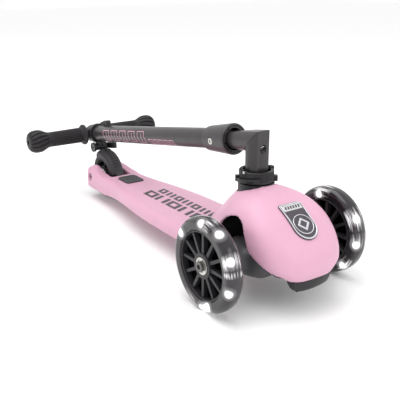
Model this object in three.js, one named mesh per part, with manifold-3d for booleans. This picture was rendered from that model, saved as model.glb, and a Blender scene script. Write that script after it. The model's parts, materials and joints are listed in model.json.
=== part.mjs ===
// Folding three-wheel kick scooter for a small child, shown folded: the bar lies back over the deck.
// Millimetres. +X is the riding direction, +Y the rider's left, +Z up, and the front axle is at X = 0.
import * as THREE from 'three';
import { mergeVertices } from 'three/addons/utils/BufferGeometryUtils.js';
import Module from 'manifold-3d';

const wasm = await Module();
wasm.setup();

// ---- Driving dimensions ----
const gap = 0.3; // clearance between pieces that touch

const frontWheel = { radius: 60, width: 24, seat: 44, rimInner: 41.6, spokes: 12 };
const rearWheel = { radius: 40, width: 22, seat: 27, rimInner: 24.5, spokes: 6 };
const rimWeb = 2.4; // the closed disc between a rim's two rows of spokes
const halfTrack = 101.5;
const wheelbase = 458;
const bearing = { outer: 11, inner: 4.2, width: 7, offset: 6.5 };
const axleRadius = 3.9;

const foldSlope = Math.atan(0.18); // how far the folded bar dips towards the rear
const joint = { x: -35.8, z: 191.5 }; // where the post's axis meets the bar's axis
const post = { radius: 15, flat: 12, bottom: 108 };
const mitreAngle = (Math.PI / 2 + foldSlope) / 2; // the mitre plane's rise above horizontal
const mitreGap = 0.15; // each half's distance from the mitre plane

const tube = { outer: 14.3, inner: 12.7, front: 62, rear: 466 };
const spigotRadius = 12.4;
const sleeve = { mouth: 47, rear: 101, mouthRadius: 21.2, rearRadius: 16, bore: 15.4 };
const sleeveScrewAt = -84;
const elbowTaper = 0.13; // how much the elbow narrows by the sleeve's mouth
const handlebarAt = 481; // distance from the joint to the handlebar, along the bar
const handlebar = { radius: 9.5, halfLength: 124, gripStart: 18.6, gripEnd: 126.8 };
const clampBolt = { x: -457, z: -23.5, bossRadius: 6.6 };
const leverPivotY = 15.5;
const hub = { radius: 15.8, rear: 12, front: 12.5 };
const innerPost = { outer: 12.4, inner: 10.8, front: 290 };

const hood = { thickness: 3, squareness: 3.2, taper: 0.85, widestX: -5 };
const hoodSplitX = -75; // where the hood meets the deck
const collar = { outer: 22.6, inner: 18.4, bottom: 139.3, top: 153.8, baseRadius: 23.7 };
const kingpinTilt = Math.PI / 4;
const kingpin = { z: 60, radius: 5, reach: 37.5, headRadius: 8, headHeight: 4 };

const deckHollow = { rear: -388, front: -104 }; // open underneath, on both sides of a middle rib
const deckRib = 5;
const forkHalfGap = 18.5;
const cheekOuter = 38;
const cheek = { front: -402, tip: -461 };
const brakeHinge = { x: -411.5, z: 40.5 };
const brakeGap = 2.4; // fender to rear tyre

// ---- Materials ----
function finish(color, roughness, metalness) {
  return new THREE.MeshStandardMaterial({ color, roughness, metalness });
}
const pinkShell = finish(0xe3a3bd, 0.45, 0);
const blackPlastic = finish(0x26262a, 0.5, 0);
const blackRubber = finish(0x2e2e31, 0.75, 0);
const darkAluminium = finish(0x4a474b, 0.38, 0.7);
const steel = finish(0xb9b9bb, 0.25, 1);
const smokyTyre = finish(0x8f8f94, 0.2, 0);
const rimPlastic = finish(0x3a3a3f, 0.45, 0);
const badgeMetal = finish(0xc9c9cc, 0.3, 0.8);

// ---- Solids ----
// Signed volume of a triangle list: negative when its faces point inwards.
function signedVolume(position, index) {
  const [a, b, c] = [new THREE.Vector3(), new THREE.Vector3(), new THREE.Vector3()];
  let sum = 0;
  for (let i = 0; i < index.length; i += 3) {
    a.fromArray(position, 3 * index[i]);
    b.fromArray(position, 3 * index[i + 1]);
    c.fromArray(position, 3 * index[i + 2]);
    sum += a.dot(b.cross(c));
  }
  return sum / 6;
}

// A closed geometry as a manifold solid, with shared corners merged and faces pointing out.
function solid(geometry) {
  const bare = geometry.clone();
  bare.deleteAttribute('normal');
  bare.deleteAttribute('uv');
  const merged = mergeVertices(bare, 1e-3);
  const position = merged.getAttribute('position').array;
  const whole = [];
  for (let i = 0; i < merged.index.count; i += 3) {
    const [a, b, c] = [0, 1, 2].map((k) => merged.index.getX(i + k));
    if (a !== b && b !== c && c !== a) whole.push(a, b, c);
  }
  if (signedVolume(position, whole) < 0) whole.reverse();
  const mesh = new wasm.Mesh({
    numProp: 3,
    vertProperties: new Float32Array(position),
    triVerts: new Uint32Array(whole),
  });
  return new wasm.Manifold(mesh);
}

function join(first, ...others) {
  return others.reduce((sum, other) => sum.add(solid(other)), solid(first));
}

function cut(body, ...tools) {
  return tools.reduce((rest, tool) => rest.subtract(solid(tool)), body);
}

function geometryOf(body) {
  const { vertProperties, triVerts } = body.getMesh();
  const geometry = new THREE.BufferGeometry();
  geometry.setAttribute('position', new THREE.BufferAttribute(vertProperties, 3));
  geometry.setIndex(new THREE.BufferAttribute(triVerts, 1));
  return geometry;
}

function addPart(group, name, body, material) {
  const mesh = new THREE.Mesh(geometryOf(body), material);
  mesh.name = name;
  group.add(mesh);
}

// A closed outline of [radius, height] points turned about the Y axis.
function turned(profile, segments) {
  const points = profile.map(([r, h]) => new THREE.Vector2(r, h));
  if (profile[0][0] > 0) points.push(points[0].clone());
  return new THREE.LatheGeometry(points, segments);
}

function ring(inner, outer, from, to, segments = 24) {
  return turned([[inner, from], [outer, from], [outer, to], [inner, to]], segments);
}

function rod(radius, from, to, segments = 24) {
  return turned([[0, from], [radius, from], [radius, to], [0, to]], segments);
}

// Turn a piece made along Y so that it lies along another axis.
function alongX(geometry) {
  return geometry.rotateZ(-Math.PI / 2);
}
function alongZ(geometry) {
  return geometry.rotateX(Math.PI / 2);
}

function block(x, y, z) {
  const geometry = new THREE.BoxGeometry(x[1] - x[0], y[1] - y[0], z[1] - z[0]);
  return geometry.translate((x[0] + x[1]) / 2, (y[0] + y[1]) / 2, (z[0] + z[1]) / 2);
}

// A skin over rings that all have the same number of [x, y, z] points, closed at both ends.
function lofted(rings) {
  const count = rings[0].length;
  const points = rings.flat();
  const index = [];
  for (let i = 0; i < rings.length - 1; i += 1) {
    for (let j = 0; j < count; j += 1) {
      const k = (j + 1) % count;
      const [a, b] = [i * count + j, i * count + k];
      index.push(a, b, b + count, a, b + count, a + count);
    }
  }
  [0, rings.length - 1].forEach((end) => {
    const middle = new THREE.Vector3();
    rings[end].forEach((point) => middle.add(new THREE.Vector3(...point)));
    points.push(middle.divideScalar(count).toArray());
    for (let j = 0; j < count; j += 1) {
      const pair = [end * count + j, end * count + ((j + 1) % count)];
      if (end === 0) pair.reverse();
      index.push(pair[0], pair[1], points.length - 1);
    }
  });
  const geometry = new THREE.BufferGeometry();
  geometry.setAttribute('position', new THREE.Float32BufferAttribute(points.flat(), 3));
  geometry.setIndex(index);
  return geometry;
}

function extruded(shape, depth, curveSegments) {
  return new THREE.ExtrudeGeometry(shape, { depth, bevelEnabled: false, curveSegments });
}

// A flat outline in X and Z, made solid between two values of Y.
function sidePlate(shape, from, to) {
  return extruded(shape, to - from, 8).rotateX(Math.PI / 2).translate(0, to, 0);
}

function polygon(points) {
  return new THREE.Shape(points.map(([x, y]) => new THREE.Vector2(x, y)));
}

// A socket-head screw along +Y: the shank from `from` to the head's underside at `seat`.
function socketScrew(shankRadius, headRadius, from, seat, headHeight) {
  const body = join(
    rod(shankRadius, from, seat, 16),
    rod(headRadius, seat - gap, seat + headHeight, 20),
  );
  const socket = rod(headRadius * 0.52, seat + headHeight * 0.35, seat + headHeight + 1, 6);
  return cut(body, socket);
}

function signedPower(value, power) {
  return Math.sign(value) * Math.abs(value) ** power;
}

// ---- Wheels ----
function tyre(wheel) {
  const half = wheel.width / 2;
  const wall = wheel.radius - wheel.seat;
  const profile = [[wheel.seat + gap, -half + 1.5]];
  const steps = 6;
  for (let i = 0; i <= steps; i += 1) {
    const t = -Math.PI / 2 + (Math.PI * i) / steps;
    const crown = Math.abs(Math.cos(t)) ** 0.85;
    profile.push([wheel.radius - 0.55 * wall * (1 - crown), half * signedPower(Math.sin(t), 0.85)]);
  }
  profile.push([wheel.seat + gap, half - 1.5]);
  return solid(turned(profile, 36));
}

function rim(wheel) {
  const half = wheel.width / 2 - 2;
  const hubRadius = bearing.outer + 2.8;
  const bore = bearing.outer + gap;
  const spokes = [];
  for (let i = 0; i < wheel.spokes; i += 1) {
    const spoke = block([hubRadius - 1, wheel.rimInner + 1], [-half + 3, half - 3], [-1.3, 1.3]);
    spokes.push(spoke.rotateY((2 * Math.PI * (i + 0.5)) / wheel.spokes));
  }
  return join(
    ring(wheel.rimInner, wheel.seat, -half, half, 36),
    ring(bore, hubRadius, -half + 0.5, half - 0.5, 20),
    ring(hubRadius - 1, wheel.rimInner + 1, -rimWeb / 2, rimWeb / 2, 36),
    ...spokes,
  );
}

function addWheel(parent, label, wheel, center) {
  const group = new THREE.Group();
  group.position.set(...center);
  addPart(group, `tyre_${label}`, tyre(wheel), smokyTyre);
  addPart(group, `rim_${label}`, rim(wheel), rimPlastic);
  [['right', -1], ['left', 1]].forEach(([place, side]) => {
    const middle = side * bearing.offset;
    const ends = [middle - bearing.width / 2, middle + bearing.width / 2];
    const race = ring(bearing.inner, bearing.outer, ...ends, 16);
    addPart(group, `bearing_${label}_${place}`, solid(race), steel);
  });
  const spacerEnd = bearing.offset - bearing.width / 2 - gap;
  const spacer = ring(bearing.inner, 6.6, -spacerEnd, spacerEnd, 16);
  addPart(group, `bearing_spacer_${label}`, solid(spacer), steel);
  parent.add(group);
}

// ---- Steering truck ----
// One station of the truck: a rounded outline in X and Z at a distance y from the middle.
function truckStation([y, rear, front, low, high]) {
  const points = [];
  const count = 20;
  for (let i = 0; i < count; i += 1) {
    const t = (2 * Math.PI * i) / count;
    const x = (front + rear) / 2 + ((front - rear) / 2) * signedPower(Math.cos(t), 2 / 2.8);
    const z = (high + low) / 2 + ((high - low) / 2) * signedPower(Math.sin(t), 2 / 2.8);
    points.push([x, y, z]);
  }
  return points;
}

function truckBody() {
  const half = [
    [0, -22, 22, 44, 76],
    [12, -22, 22, 44, 76],
    [24, -32, 42, 37, 79],
    [44, -34, 45, 36, 78],
    [54, -28, 36, 38, 76],
    [62, -22, 24, 42, 74],
    [75, -16, 17, 45, 74],
    [90.6, -13, 13, 47, 73],
  ];
  const mirrored = half.slice(1).reverse().map(([y, ...rest]) => [-y, ...rest]);
  const body = solid(lofted([...mirrored, ...half].map(truckStation)));
  const axleBore = rod(axleRadius + gap, -110, 110, 16).translate(0, 0, frontWheel.radius);
  const kingpinBore = alongKingpin(rod(kingpin.radius + 3.3, -60, 60, 20));
  return cut(body, axleBore, kingpinBore);
}

// Places a piece made along Y on the inclined steering axis, its +Y end forward and up.
function alongKingpin(geometry) {
  return alongZ(geometry).rotateY(Math.PI / 2 - kingpinTilt).translate(0, 0, kingpin.z);
}

function addTruck(parent) {
  const group = new THREE.Group();
  addPart(group, 'truck_body', truckBody(), blackPlastic);
  const bush = alongKingpin(ring(kingpin.radius + gap, kingpin.radius + 3, -20, 20, 20));
  addPart(group, 'kingpin_bush', solid(bush), steel);
  [['left', 1], ['right', -1]].forEach(([label, side]) => {
    const seat = halfTrack + bearing.offset + bearing.width / 2 + gap;
    const bolt = socketScrew(axleRadius, 6.6, 30, seat, 3.6);
    addPart(group, `axle_bolt_${label}`, placedBolt(bolt, side), steel);
  });
  parent.add(group);
}

function placedBolt(bolt, side) {
  const geometry = geometryOf(bolt);
  if (side < 0) geometry.rotateZ(Math.PI);
  return solid(geometry.translate(0, 0, frontWheel.radius));
}

// ---- Chassis: hood, deck and fork ----
// Height, front reach, half width and rear reach of the hood's outline at rising levels.
const hoodLevels = [
  [45, 81, 42, -95],
  [52, 83, 52, -110],
  [62, 85, 61, -128],
  [75, 81, 64, -116],
  [90, 71, 64, -99],
  [105, 54.5, 61, -83],
  [118, 36, 51, -70],
  [127, 18, 38, -62],
  [133, 4, 25, -55],
  [137.5, -10, 11, -46],
];

function hoodOutline(z, front, half, rear) {
  const points = [];
  const count = 32;
  for (let i = 0; i < count; i += 1) {
    const t = (2 * Math.PI * i) / count;
    const forward = Math.cos(t);
    if (forward >= 0) {
      const power = 2 / hood.squareness;
      const x = hood.widestX + (front - hood.widestX) * forward ** power;
      points.push([x, half * signedPower(Math.sin(t), power), z]);
    } else {
      const x = hood.widestX + (hood.widestX - rear) * forward;
      const y = half * Math.sign(Math.sin(t)) * (1 - forward ** 2) ** hood.taper;
      points.push([x, Math.abs(y) < 1e-9 ? 0 : y, z]);
    }
  }
  return points;
}

function hoodForm(inset) {
  const levels = hoodLevels.map(([z, front, half, rear], i) => {
    const low = i === 0 && inset > 0 ? -20 : 0;
    return hoodOutline(z + low - inset, front - inset, half - inset, rear + inset);
  });
  return solid(lofted(levels));
}

// Side view of the opening that the truck's arm passes through.
function archShape() {
  const shape = new THREE.Shape();
  shape.moveTo(-56, 10);
  shape.lineTo(-56, 50);
  shape.bezierCurveTo(-52, 76, -30, 111, -6, 111);
  shape.bezierCurveTo(10, 111, 14, 98, 22, 83);
  shape.bezierCurveTo(30, 68, 58, 68, 61, 46);
  shape.lineTo(61, 10);
  shape.closePath();
  return shape;
}

function deckStation([x, half, low, high]) {
  const [upper, lower] = [11, 9];
  const corners = [
    [half - upper, high - upper, upper, 0],
    [-half + upper, high - upper, upper, 1],
    [-half + lower, low + lower, lower, 2],
    [half - lower, low + lower, lower, 3],
  ];
  const steps = 3;
  return corners.flatMap(([y, z, radius, quarter]) => {
    const arc = [];
    for (let i = 0; i <= steps; i += 1) {
      const t = (Math.PI / 2) * (quarter + i / steps);
      arc.push([x, y + radius * Math.cos(t), z + radius * Math.sin(t)]);
    }
    return arc;
  });
}

// Position, half width, underside and top of the deck, from the hood back to the fork.
const deckStations = [
  [-62, 50, 31, 54.5],
  [-100, 57, 30, 54.5],
  [-160, 58.5, 29.5, 54],
  [-220, 57.5, 29.5, 53.5],
  [-270, 54, 29, 53],
  [-310, 48.5, 28, 52.5],
  [-345, 42.6, 25.2, 52],
  [-375, 38.8, 22, 51.5],
  [-405, 37.5, 19, 51],
  [-440, 37.5, 18.5, 50],
];

// One fork cheek seen from the side: it rises from the deck and rounds off behind the axle.
function cheekShape() {
  const shape = new THREE.Shape();
  shape.moveTo(cheek.front, 20);
  shape.lineTo(cheek.front, 47);
  shape.bezierCurveTo(-412, 52, -426, 51.5, -436, 53);
  shape.bezierCurveTo(-444, 55, -450, 60.5, cheek.tip, 60);
  shape.absellipse(cheek.tip, 40, 17, 20, Math.PI * 0.5, Math.PI * 1.4, false);
  shape.bezierCurveTo(-450, 18.5, -425, 18, cheek.front, 20);
  return shape;
}

// Seen from behind, the fork's outer edges are well rounded.
function forkSection() {
  const upper = { across: 22, up: 24, centerZ: 37 };
  const [lowRadius, bottom] = [9, 18];
  const side = cheekOuter - upper.across;
  const shape = new THREE.Shape();
  const lowSide = cheekOuter - lowRadius;
  shape.absarc(-lowSide, bottom + lowRadius, lowRadius, Math.PI, 1.5 * Math.PI, false);
  shape.absarc(lowSide, bottom + lowRadius, lowRadius, -Math.PI / 2, 0, false);
  shape.absellipse(side, upper.centerZ, upper.across, upper.up, 0, Math.PI / 2, false);
  shape.absellipse(-side, upper.centerZ, upper.across, upper.up, Math.PI / 2, Math.PI, false);
  shape.closePath();
  return extruded(shape, 120, 6).rotateX(Math.PI / 2).rotateZ(Math.PI / 2).translate(-500, 0, 0);
}

// Seen from above, the fork's tips are rounded off behind the axle.
function forkPlan() {
  const radius = 16;
  const [rear, side] = [cheek.tip, cheekOuter - radius];
  const shape = new THREE.Shape();
  shape.moveTo(-390, -cheekOuter - 1);
  shape.lineTo(rear, -cheekOuter);
  shape.absarc(rear, -side, radius, -Math.PI / 2, -Math.PI, true);
  shape.absarc(rear, side, radius, Math.PI, Math.PI / 2, true);
  shape.lineTo(-390, cheekOuter + 1);
  shape.closePath();
  return extruded(shape, 100, 6);
}

function deckBody(outer, inner) {
  const slab = solid(lofted(deckStations.map(deckStation)));
  const behindHood = solid(block([-600, hoodSplitX - gap], [-100, 100], [0, 200]));
  let body = outer.add(slab).intersect(behindHood);
  const hollowStations = deckStations.map(([x, half, , high]) => [x, half - 4, -12, high - 4]);
  const hollow = solid(lofted(hollowStations.map(deckStation))).add(inner);
  [[-90, -deckRib / 2], [deckRib / 2, 90]].forEach((across) => {
    const room = solid(block([deckHollow.rear, deckHollow.front], across, [-30, 130]));
    body = body.subtract(hollow.intersect(room));
  });
  const plan = solid(forkPlan()).intersect(solid(forkSection()));
  [[-cheekOuter, -forkHalfGap], [forkHalfGap, cheekOuter]].forEach(([from, to]) => {
    body = body.add(solid(sidePlate(cheekShape(), from, to)).intersect(plan));
  });
  const axle = rod(axleRadius + gap, -60, 60, 16).translate(-wheelbase, 0, rearWheel.radius);
  const headRooms = [-1, 1].map((side) => {
    const room = rod(7, 29 * side, 60 * side, 20);
    return room.translate(-wheelbase, 0, rearWheel.radius);
  });
  const pin = rod(2.3 + gap, -31 - gap, 31 + gap, 12).translate(brakeHinge.x, 0, brakeHinge.z);
  const wheelSlot = block([-520, -406], [-forkHalfGap, forkHalfGap], [0, 120]);
  return cut(body, axle, ...headRooms, pin, wheelSlot, padShape(0.4, 50.6, 60));
}

// The rubber pad let into the deck in front of the brake.
function padShape(margin, low, high) {
  const [rear, front, half, round] = [-391, -353, 16.5, 5];
  const shape = new THREE.Shape();
  shape.moveTo(rear - margin + round, -half - margin);
  shape.lineTo(front + margin - round, -half - margin);
  shape.quadraticCurveTo(front + margin, -half - margin, front + margin, -half - margin + round);
  shape.lineTo(front + margin, half + margin - round);
  shape.quadraticCurveTo(front + margin, half + margin, front + margin - round, half + margin);
  shape.lineTo(rear - margin + round, half + margin);
  shape.quadraticCurveTo(rear - margin, half + margin, rear - margin, half + margin - round);
  shape.lineTo(rear - margin, -half - margin + round);
  shape.quadraticCurveTo(rear - margin, -half - margin, rear - margin + round, -half - margin);
  return extruded(shape, high - low, 4).translate(0, 0, low);
}

function hoodShell(outer, inner) {
  const front = solid(block([hoodSplitX, 200], [-100, 100], [0, 200]));
  const cavity = solid(block([-66, 200], [-100, 100], [0, 200]));
  const arches = [[-90, -20], [20, 90]].map(([from, to]) => sidePlate(archShape(), from, to));
  const neck = alongZ(rod(collar.baseRadius + gap, 80, 200, 28)).translate(joint.x, 0, 0);
  const slab = solid(lofted(deckStations.map(deckStation)));
  const shell = outer.add(slab).intersect(front).subtract(inner.intersect(cavity));
  const underside = block([-66, 200], [-100, 100], [0, 45.5]);
  return cut(shell, ...arches, neck, underside);
}

function addHoodAndDeck(parent) {
  const outer = hoodForm(0);
  const inner = hoodForm(hood.thickness);
  addPart(parent, 'deck', deckBody(outer, inner), pinkShell);
  addPart(parent, 'nose_hood', hoodShell(outer, inner), pinkShell);
  addPart(parent, 'deck_pad', solid(padShape(0, 50.9, 53.4)), blackRubber);
}

// Shield-shaped plate on the front of the hood, flat-topped and round at the bottom.
function badge() {
  const [half, top, drop] = [17.5, 27, 10];
  const shape = new THREE.Shape();
  shape.moveTo(-half + 3, top);
  shape.lineTo(half - 3, top);
  shape.quadraticCurveTo(half, top, half, top - 3);
  shape.lineTo(half, -drop);
  shape.absarc(0, -drop, half, 0, -Math.PI, true);
  shape.lineTo(-half, top - 3);
  shape.quadraticCurveTo(-half, top, -half + 3, top);
  const plate = extruded(shape, 1.6, 8);
  const lean = Math.atan2(29.2, 39.3); // the hood's fall between the badge's top and tip
  plate.rotateZ(Math.PI / 2).rotateY(lean);
  return solid(plate.translate(48.15 + 1.2, 0, 107.7 + 2.6));
}

// Black scuff guard under the front of the hood.
function chinGuard() {
  const stations = [29, 33, 44, 52].map((z, i) => {
    const front = [74, 77.5, 78.5, 76][i];
    const half = [20, 24, 28.5, 29][i];
    const rear = [66, 62, 58, 58][i];
    return chinOutline(z, front, half, rear);
  });
  return solid(lofted(stations));
}

function chinOutline(z, front, half, rear) {
  const points = [[rear, -half, z]];
  const steps = 8;
  for (let i = 0; i <= steps; i += 1) {
    const t = -1 + (2 * i) / steps;
    points.push([front - 5 * t * t, half * t, z]);
  }
  points.push([rear, half, z]);
  return points;
}

// ---- Chassis: post, collar and steering pivot ----
// D-shaped section of the post and of the elbow that meets it.
function dShape() {
  const open = Math.acos(post.flat / post.radius);
  const shape = new THREE.Shape();
  shape.absarc(0, 0, post.radius, open, 2 * Math.PI - open, false);
  shape.closePath();
  return shape;
}

function dBar(length) {
  return extruded(dShape(), length, 20);
}

// Half-space on one side of the mitre plane through the origin: side 1 is above and behind it.
function mitreCutter(rise, side) {
  const size = 200;
  const cutter = block([-size, size], [-size, size], [0, size]);
  if (side < 0) cutter.translate(0, 0, -size);
  cutter.translate(0, 0, -side * mitreGap);
  return cutter.rotateY(-rise);
}

function swivelHole() {
  return alongZ(rod(3.6, -30, 10, 16)).rotateY(-mitreAngle);
}

function stemPost() {
  const body = solid(dBar(100).translate(0, 0, post.bottom - joint.z));
  return cut(body, mitreCutter(mitreAngle, 1), swivelHole());
}

function swivelBolt() {
  return solid(alongZ(rod(3.3, -11, 8, 16)).rotateY(-mitreAngle));
}

// A block that follows an arc about the Z axis while it climbs.
function risingArc(inner, outer, start, end, low, high, height) {
  const steps = 6;
  const rings = [];
  for (let i = 0; i <= steps; i += 1) {
    const t = i / steps;
    const angle = start + (end - start) * t;
    const base = low + (high - low) * t;
    const corner = (radius, z) => [radius * Math.cos(angle), radius * Math.sin(angle), z];
    rings.push([
      corner(inner, base),
      corner(outer, base),
      corner(outer, base + height),
      corner(inner, base + height),
    ]);
  }
  return lofted(rings);
}

function collarRing() {
  const pieces = [alongZ(ring(collar.inner, collar.outer, collar.bottom, collar.top, 32))];
  [0, Math.PI].forEach((turn) => {
    const [start, end] = [-2.2 + turn, -0.6 + turn];
    pieces.push(risingArc(collar.outer - 0.8, 26.4, start, end, 138, 141.5, 5.2));
    pieces.push(risingArc(collar.outer - 0.8, 27.4, start - 0.1, start + 0.14, 138, 138, 7.5));
  });
  return join(...pieces);
}

function collarBase() {
  return solid(alongZ(ring(post.radius + gap, collar.baseRadius, 118.5, collar.bottom - 1.6, 32)));
}

// C-shaped frame that holds both ends of the kingpin and backs the centring blocks.
function pivotFrame() {
  const [reach, inside, outside, nose] = [37, 28, 46, -8];
  const toSide = ([u, v]) => {
    const [c, s] = [Math.cos(kingpinTilt), Math.sin(kingpinTilt)];
    return [u * c - v * s, kingpin.z + u * s + v * c];
  };
  const outline = [
    [-reach, nose], [-inside, nose], [-inside, 38], [inside, 38],
    [inside, nose], [reach, nose], [reach, outside - 6], [reach - 6, outside], [-reach, outside],
  ];
  const frame = sidePlate(polygon(outline.map(toSide)), -9, 9);
  const wings = block([-36, 0], [-36, 36], [92, 98]);
  return cut(join(frame, wings), alongKingpin(rod(kingpin.radius + gap, -60, 60, 20)));
}

function kingpinSolid() {
  const { radius, reach, headRadius, headHeight } = kingpin;
  return join(
    alongKingpin(rod(radius, -reach - headHeight, reach + headHeight, 20)),
    alongKingpin(rod(headRadius, reach + gap, reach + headHeight, 6)),
    alongKingpin(rod(headRadius, -reach - headHeight, -reach - gap, 6)),
  );
}

function addSteeringPivot(parent) {
  addPart(parent, 'pivot_frame', pivotFrame(), darkAluminium);
  addPart(parent, 'kingpin', kingpinSolid(), steel);
  [['left', 28], ['right', -28]].forEach(([label, y]) => {
    const spring = alongZ(ring(3, 7, 79.4, 91.7, 16)).translate(-8, y, 0);
    addPart(parent, `centring_spring_${label}`, solid(spring), blackRubber);
  });
}

function addPostAndCollar(parent) {
  const group = new THREE.Group();
  group.position.set(joint.x, 0, joint.z);
  addPart(group, 'stem_post', stemPost(), darkAluminium);
  addPart(group, 'swivel_bolt', swivelBolt(), steel);
  parent.add(group);
  const onPost = new THREE.Group();
  onPost.position.x = joint.x;
  addPart(onPost, 'collar_base', collarBase(), blackPlastic);
  addPart(onPost, 'lock_collar', collarRing(), blackPlastic);
  parent.add(onPost);
}

// ---- Rear: axle and brake ----
function addRearAxle(parent) {
  const group = new THREE.Group();
  group.position.set(-wheelbase, 0, rearWheel.radius);
  addPart(group, 'rear_axle_bolt', socketScrew(axleRadius, 6.4, -28.5, 29.3, 4), steel);
  const nut = cut(solid(rod(6.4, -33.5, -29.3, 6)), rod(axleRadius + gap, -40, -20, 16));
  addPart(group, 'rear_axle_nut', nut, steel);
  [['left', 1], ['right', -1]].forEach(([label, side]) => {
    const ends = [bearing.offset + bearing.width / 2 + gap, forkHalfGap - gap].map((y) => y * side);
    addPart(group, `rear_spacer_${label}`, solid(ring(axleRadius + gap, 7, ...ends, 16)), steel);
  });
  parent.add(group);
}

// Brake fender: a round-backed strip that hugs the rear tyre and ends in its hinge barrel.
function brakeFender() {
  const skirt = rearWheel.radius - 9;
  const inner = rearWheel.radius + brakeGap;
  const section = [
    [-11.6, skirt], [-10.6, inner - 4.5], [-6.5, inner - 1], [0, inner], [6.5, inner - 1],
    [10.6, inner - 4.5], [11.6, skirt], [13.2, skirt], [12.2, inner - 3.6], [8, inner + 0.8],
    [0, inner + 2.2], [-8, inner + 0.8], [-12.2, inner - 3.6], [-13.2, skirt],
  ];
  const steps = 10;
  const rings = [];
  for (let i = 0; i <= steps; i += 1) {
    const angle = THREE.MathUtils.degToRad(113 - 99 * (i / steps));
    rings.push(section.map(([y, r]) => {
      return [-wheelbase + r * Math.cos(angle), y, rearWheel.radius + r * Math.sin(angle)];
    }));
  }
  const outline = [[-2.5, -3.3], [0, -4.2], [3.8, 2], [1.5, 9], [-3, 14], [-5.2, 9.8], [-3.9, 2]];
  const foot = join(sidePlate(polygon(outline), -7, 7), rod(4.2, -7, 7, 16));
  const place = new THREE.Vector3(brakeHinge.x, 0, brakeHinge.z);
  const placedFoot = geometryOf(cut(foot, rod(2.3 + gap, -60, 60, 12))).translate(...place.toArray());
  return solid(lofted(rings)).add(solid(placedFoot));
}

function addBrake(parent) {
  addPart(parent, 'brake_fender', brakeFender(), blackPlastic);
  const pin = rod(2.3, -31, 31, 12).translate(brakeHinge.x, 0, brakeHinge.z);
  addPart(parent, 'brake_pin', solid(pin), steel);
}

// ---- Folding bar ----
// Everything on the bar is made along X with the joint at the origin and the rider's end at -X.
function onBar(geometry) {
  return alongX(geometry);
}

function elbow() {
  const outline = dShape().getPoints(20);
  outline.pop();
  const stations = [[12, 1], [-12, 1], [-sleeve.mouth, 1 - elbowTaper], [-tube.front + gap, 1 - elbowTaper]];
  const rings = stations.map(([x, scale]) => outline.map((p) => [x, scale * p.y, scale * p.x]));
  const head = cut(solid(lofted(rings)), mitreCutter(mitreAngle - foldSlope, -1));
  const spigot = onBar(ring(9, spigotRadius, -tube.front - 58, -tube.front + 4, 20));
  const hole = alongZ(rod(3.6, -10, 10.5, 16)).rotateY(foldSlope - mitreAngle);
  return cut(head.add(solid(spigot)), hole);
}

function outerTube() {
  const body = solid(onBar(ring(tube.inner, tube.outer, -tube.rear, -tube.front, 28)));
  const buttonHole = block([-430, -412], [-5.4, 5.4], [8, 20]);
  return cut(body, buttonHole);
}

function lockSleeve() {
  const { mouth, rear, mouthRadius, rearRadius, bore } = sleeve;
  const profile = [
    [bore, -rear], [rearRadius, -rear], [rearRadius + 2, -rear + 9], [mouthRadius, -mouth - 1.5],
    [mouthRadius - 1.2, -mouth], [mouthRadius - 2.8, -mouth], [mouthRadius - 2.8, -mouth - 7],
    [bore, -mouth - 7],
  ];
  const screwSeat = rod(4 + gap, -40, -15, 20).translate(sleeveScrewAt, 0, 0);
  return cut(solid(onBar(turned(profile, 28))), screwSeat);
}

function sleeveScrew() {
  const screw = geometryOf(socketScrew(2.2, 4, 16.2, 18.7, 1.8));
  return solid(screw.rotateZ(Math.PI).translate(sleeveScrewAt, 0, 0));
}

function clampBand() {
  const band = onBar(ring(tube.outer + gap, 18, -466.5, -457, 24));
  const lug = block([-465, -451], [-7, 7], [-24, -14.9]);
  const boss = rod(clampBolt.bossRadius, -13, 10, 20).translate(clampBolt.x, 0, clampBolt.z);
  const slit = block([-470, -440], [-0.8, 0.8], [-40, -12]);
  const bore = rod(2.5 + gap, -30, 30, 12).translate(clampBolt.x, 0, clampBolt.z);
  const tubeRoom = onBar(rod(tube.outer + gap, -480, -430, 28));
  return cut(join(band, lug, boss), bore, tubeRoom, slit);
}

// The clamp's bolt ends in a cross pin that the lever turns on.
function clampBoltSolid() {
  const bolt = geometryOf(socketScrew(2.5, 5, -leverPivotY, 13.3, 3.2)).rotateX(Math.PI);
  const crossPin = alongZ(rod(2.4, -4.8, 4.8, 12)).translate(0, leverPivotY, 0);
  return solid(geometryOf(join(bolt, crossPin)).translate(clampBolt.x, 0, clampBolt.z));
}

function clampLever() {
  const arm = polygon([[0, -4.7], [5, -4.6], [19, -3.5], [26, -1.5], [27.5, 2], [23, 5], [5, 4.5],
    [-2, 3.7], [-4, 2], [-4.5, -1.5], [-3.5, -3.2]]);
  const body = solid(extruded(arm, 10, 4).translate(0, 0, -5));
  const slot = block([-20, 3.1], [-20, 20], [-2.8, 2.8]);
  const pinHole = alongZ(rod(2.4 + gap, -20, 20, 12));
  const lever = geometryOf(cut(body, slot, pinHole));
  return solid(lever.translate(clampBolt.x, leverPivotY, clampBolt.z));
}

function addBar(parent) {
  const group = new THREE.Group();
  group.position.set(joint.x, 0, joint.z);
  group.rotation.y = -foldSlope;
  addPart(group, 'elbow', elbow(), darkAluminium);
  addPart(group, 'outer_tube', outerTube(), darkAluminium);
  addPart(group, 'lock_sleeve', lockSleeve(), darkAluminium);
  addPart(group, 'sleeve_screw', sleeveScrew(), steel);
  addPart(group, 'clamp_band', clampBand(), blackPlastic);
  addPart(group, 'clamp_bolt', clampBoltSolid(), steel);
  addPart(group, 'clamp_lever', clampLever(), blackPlastic);
  const button = block([-428.5, -413.5], [-4.5, 4.5], [9, 20.5]);
  addPart(group, 'height_button', solid(button), blackPlastic);
  addHandlebar(group);
  parent.add(group);
}

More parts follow.
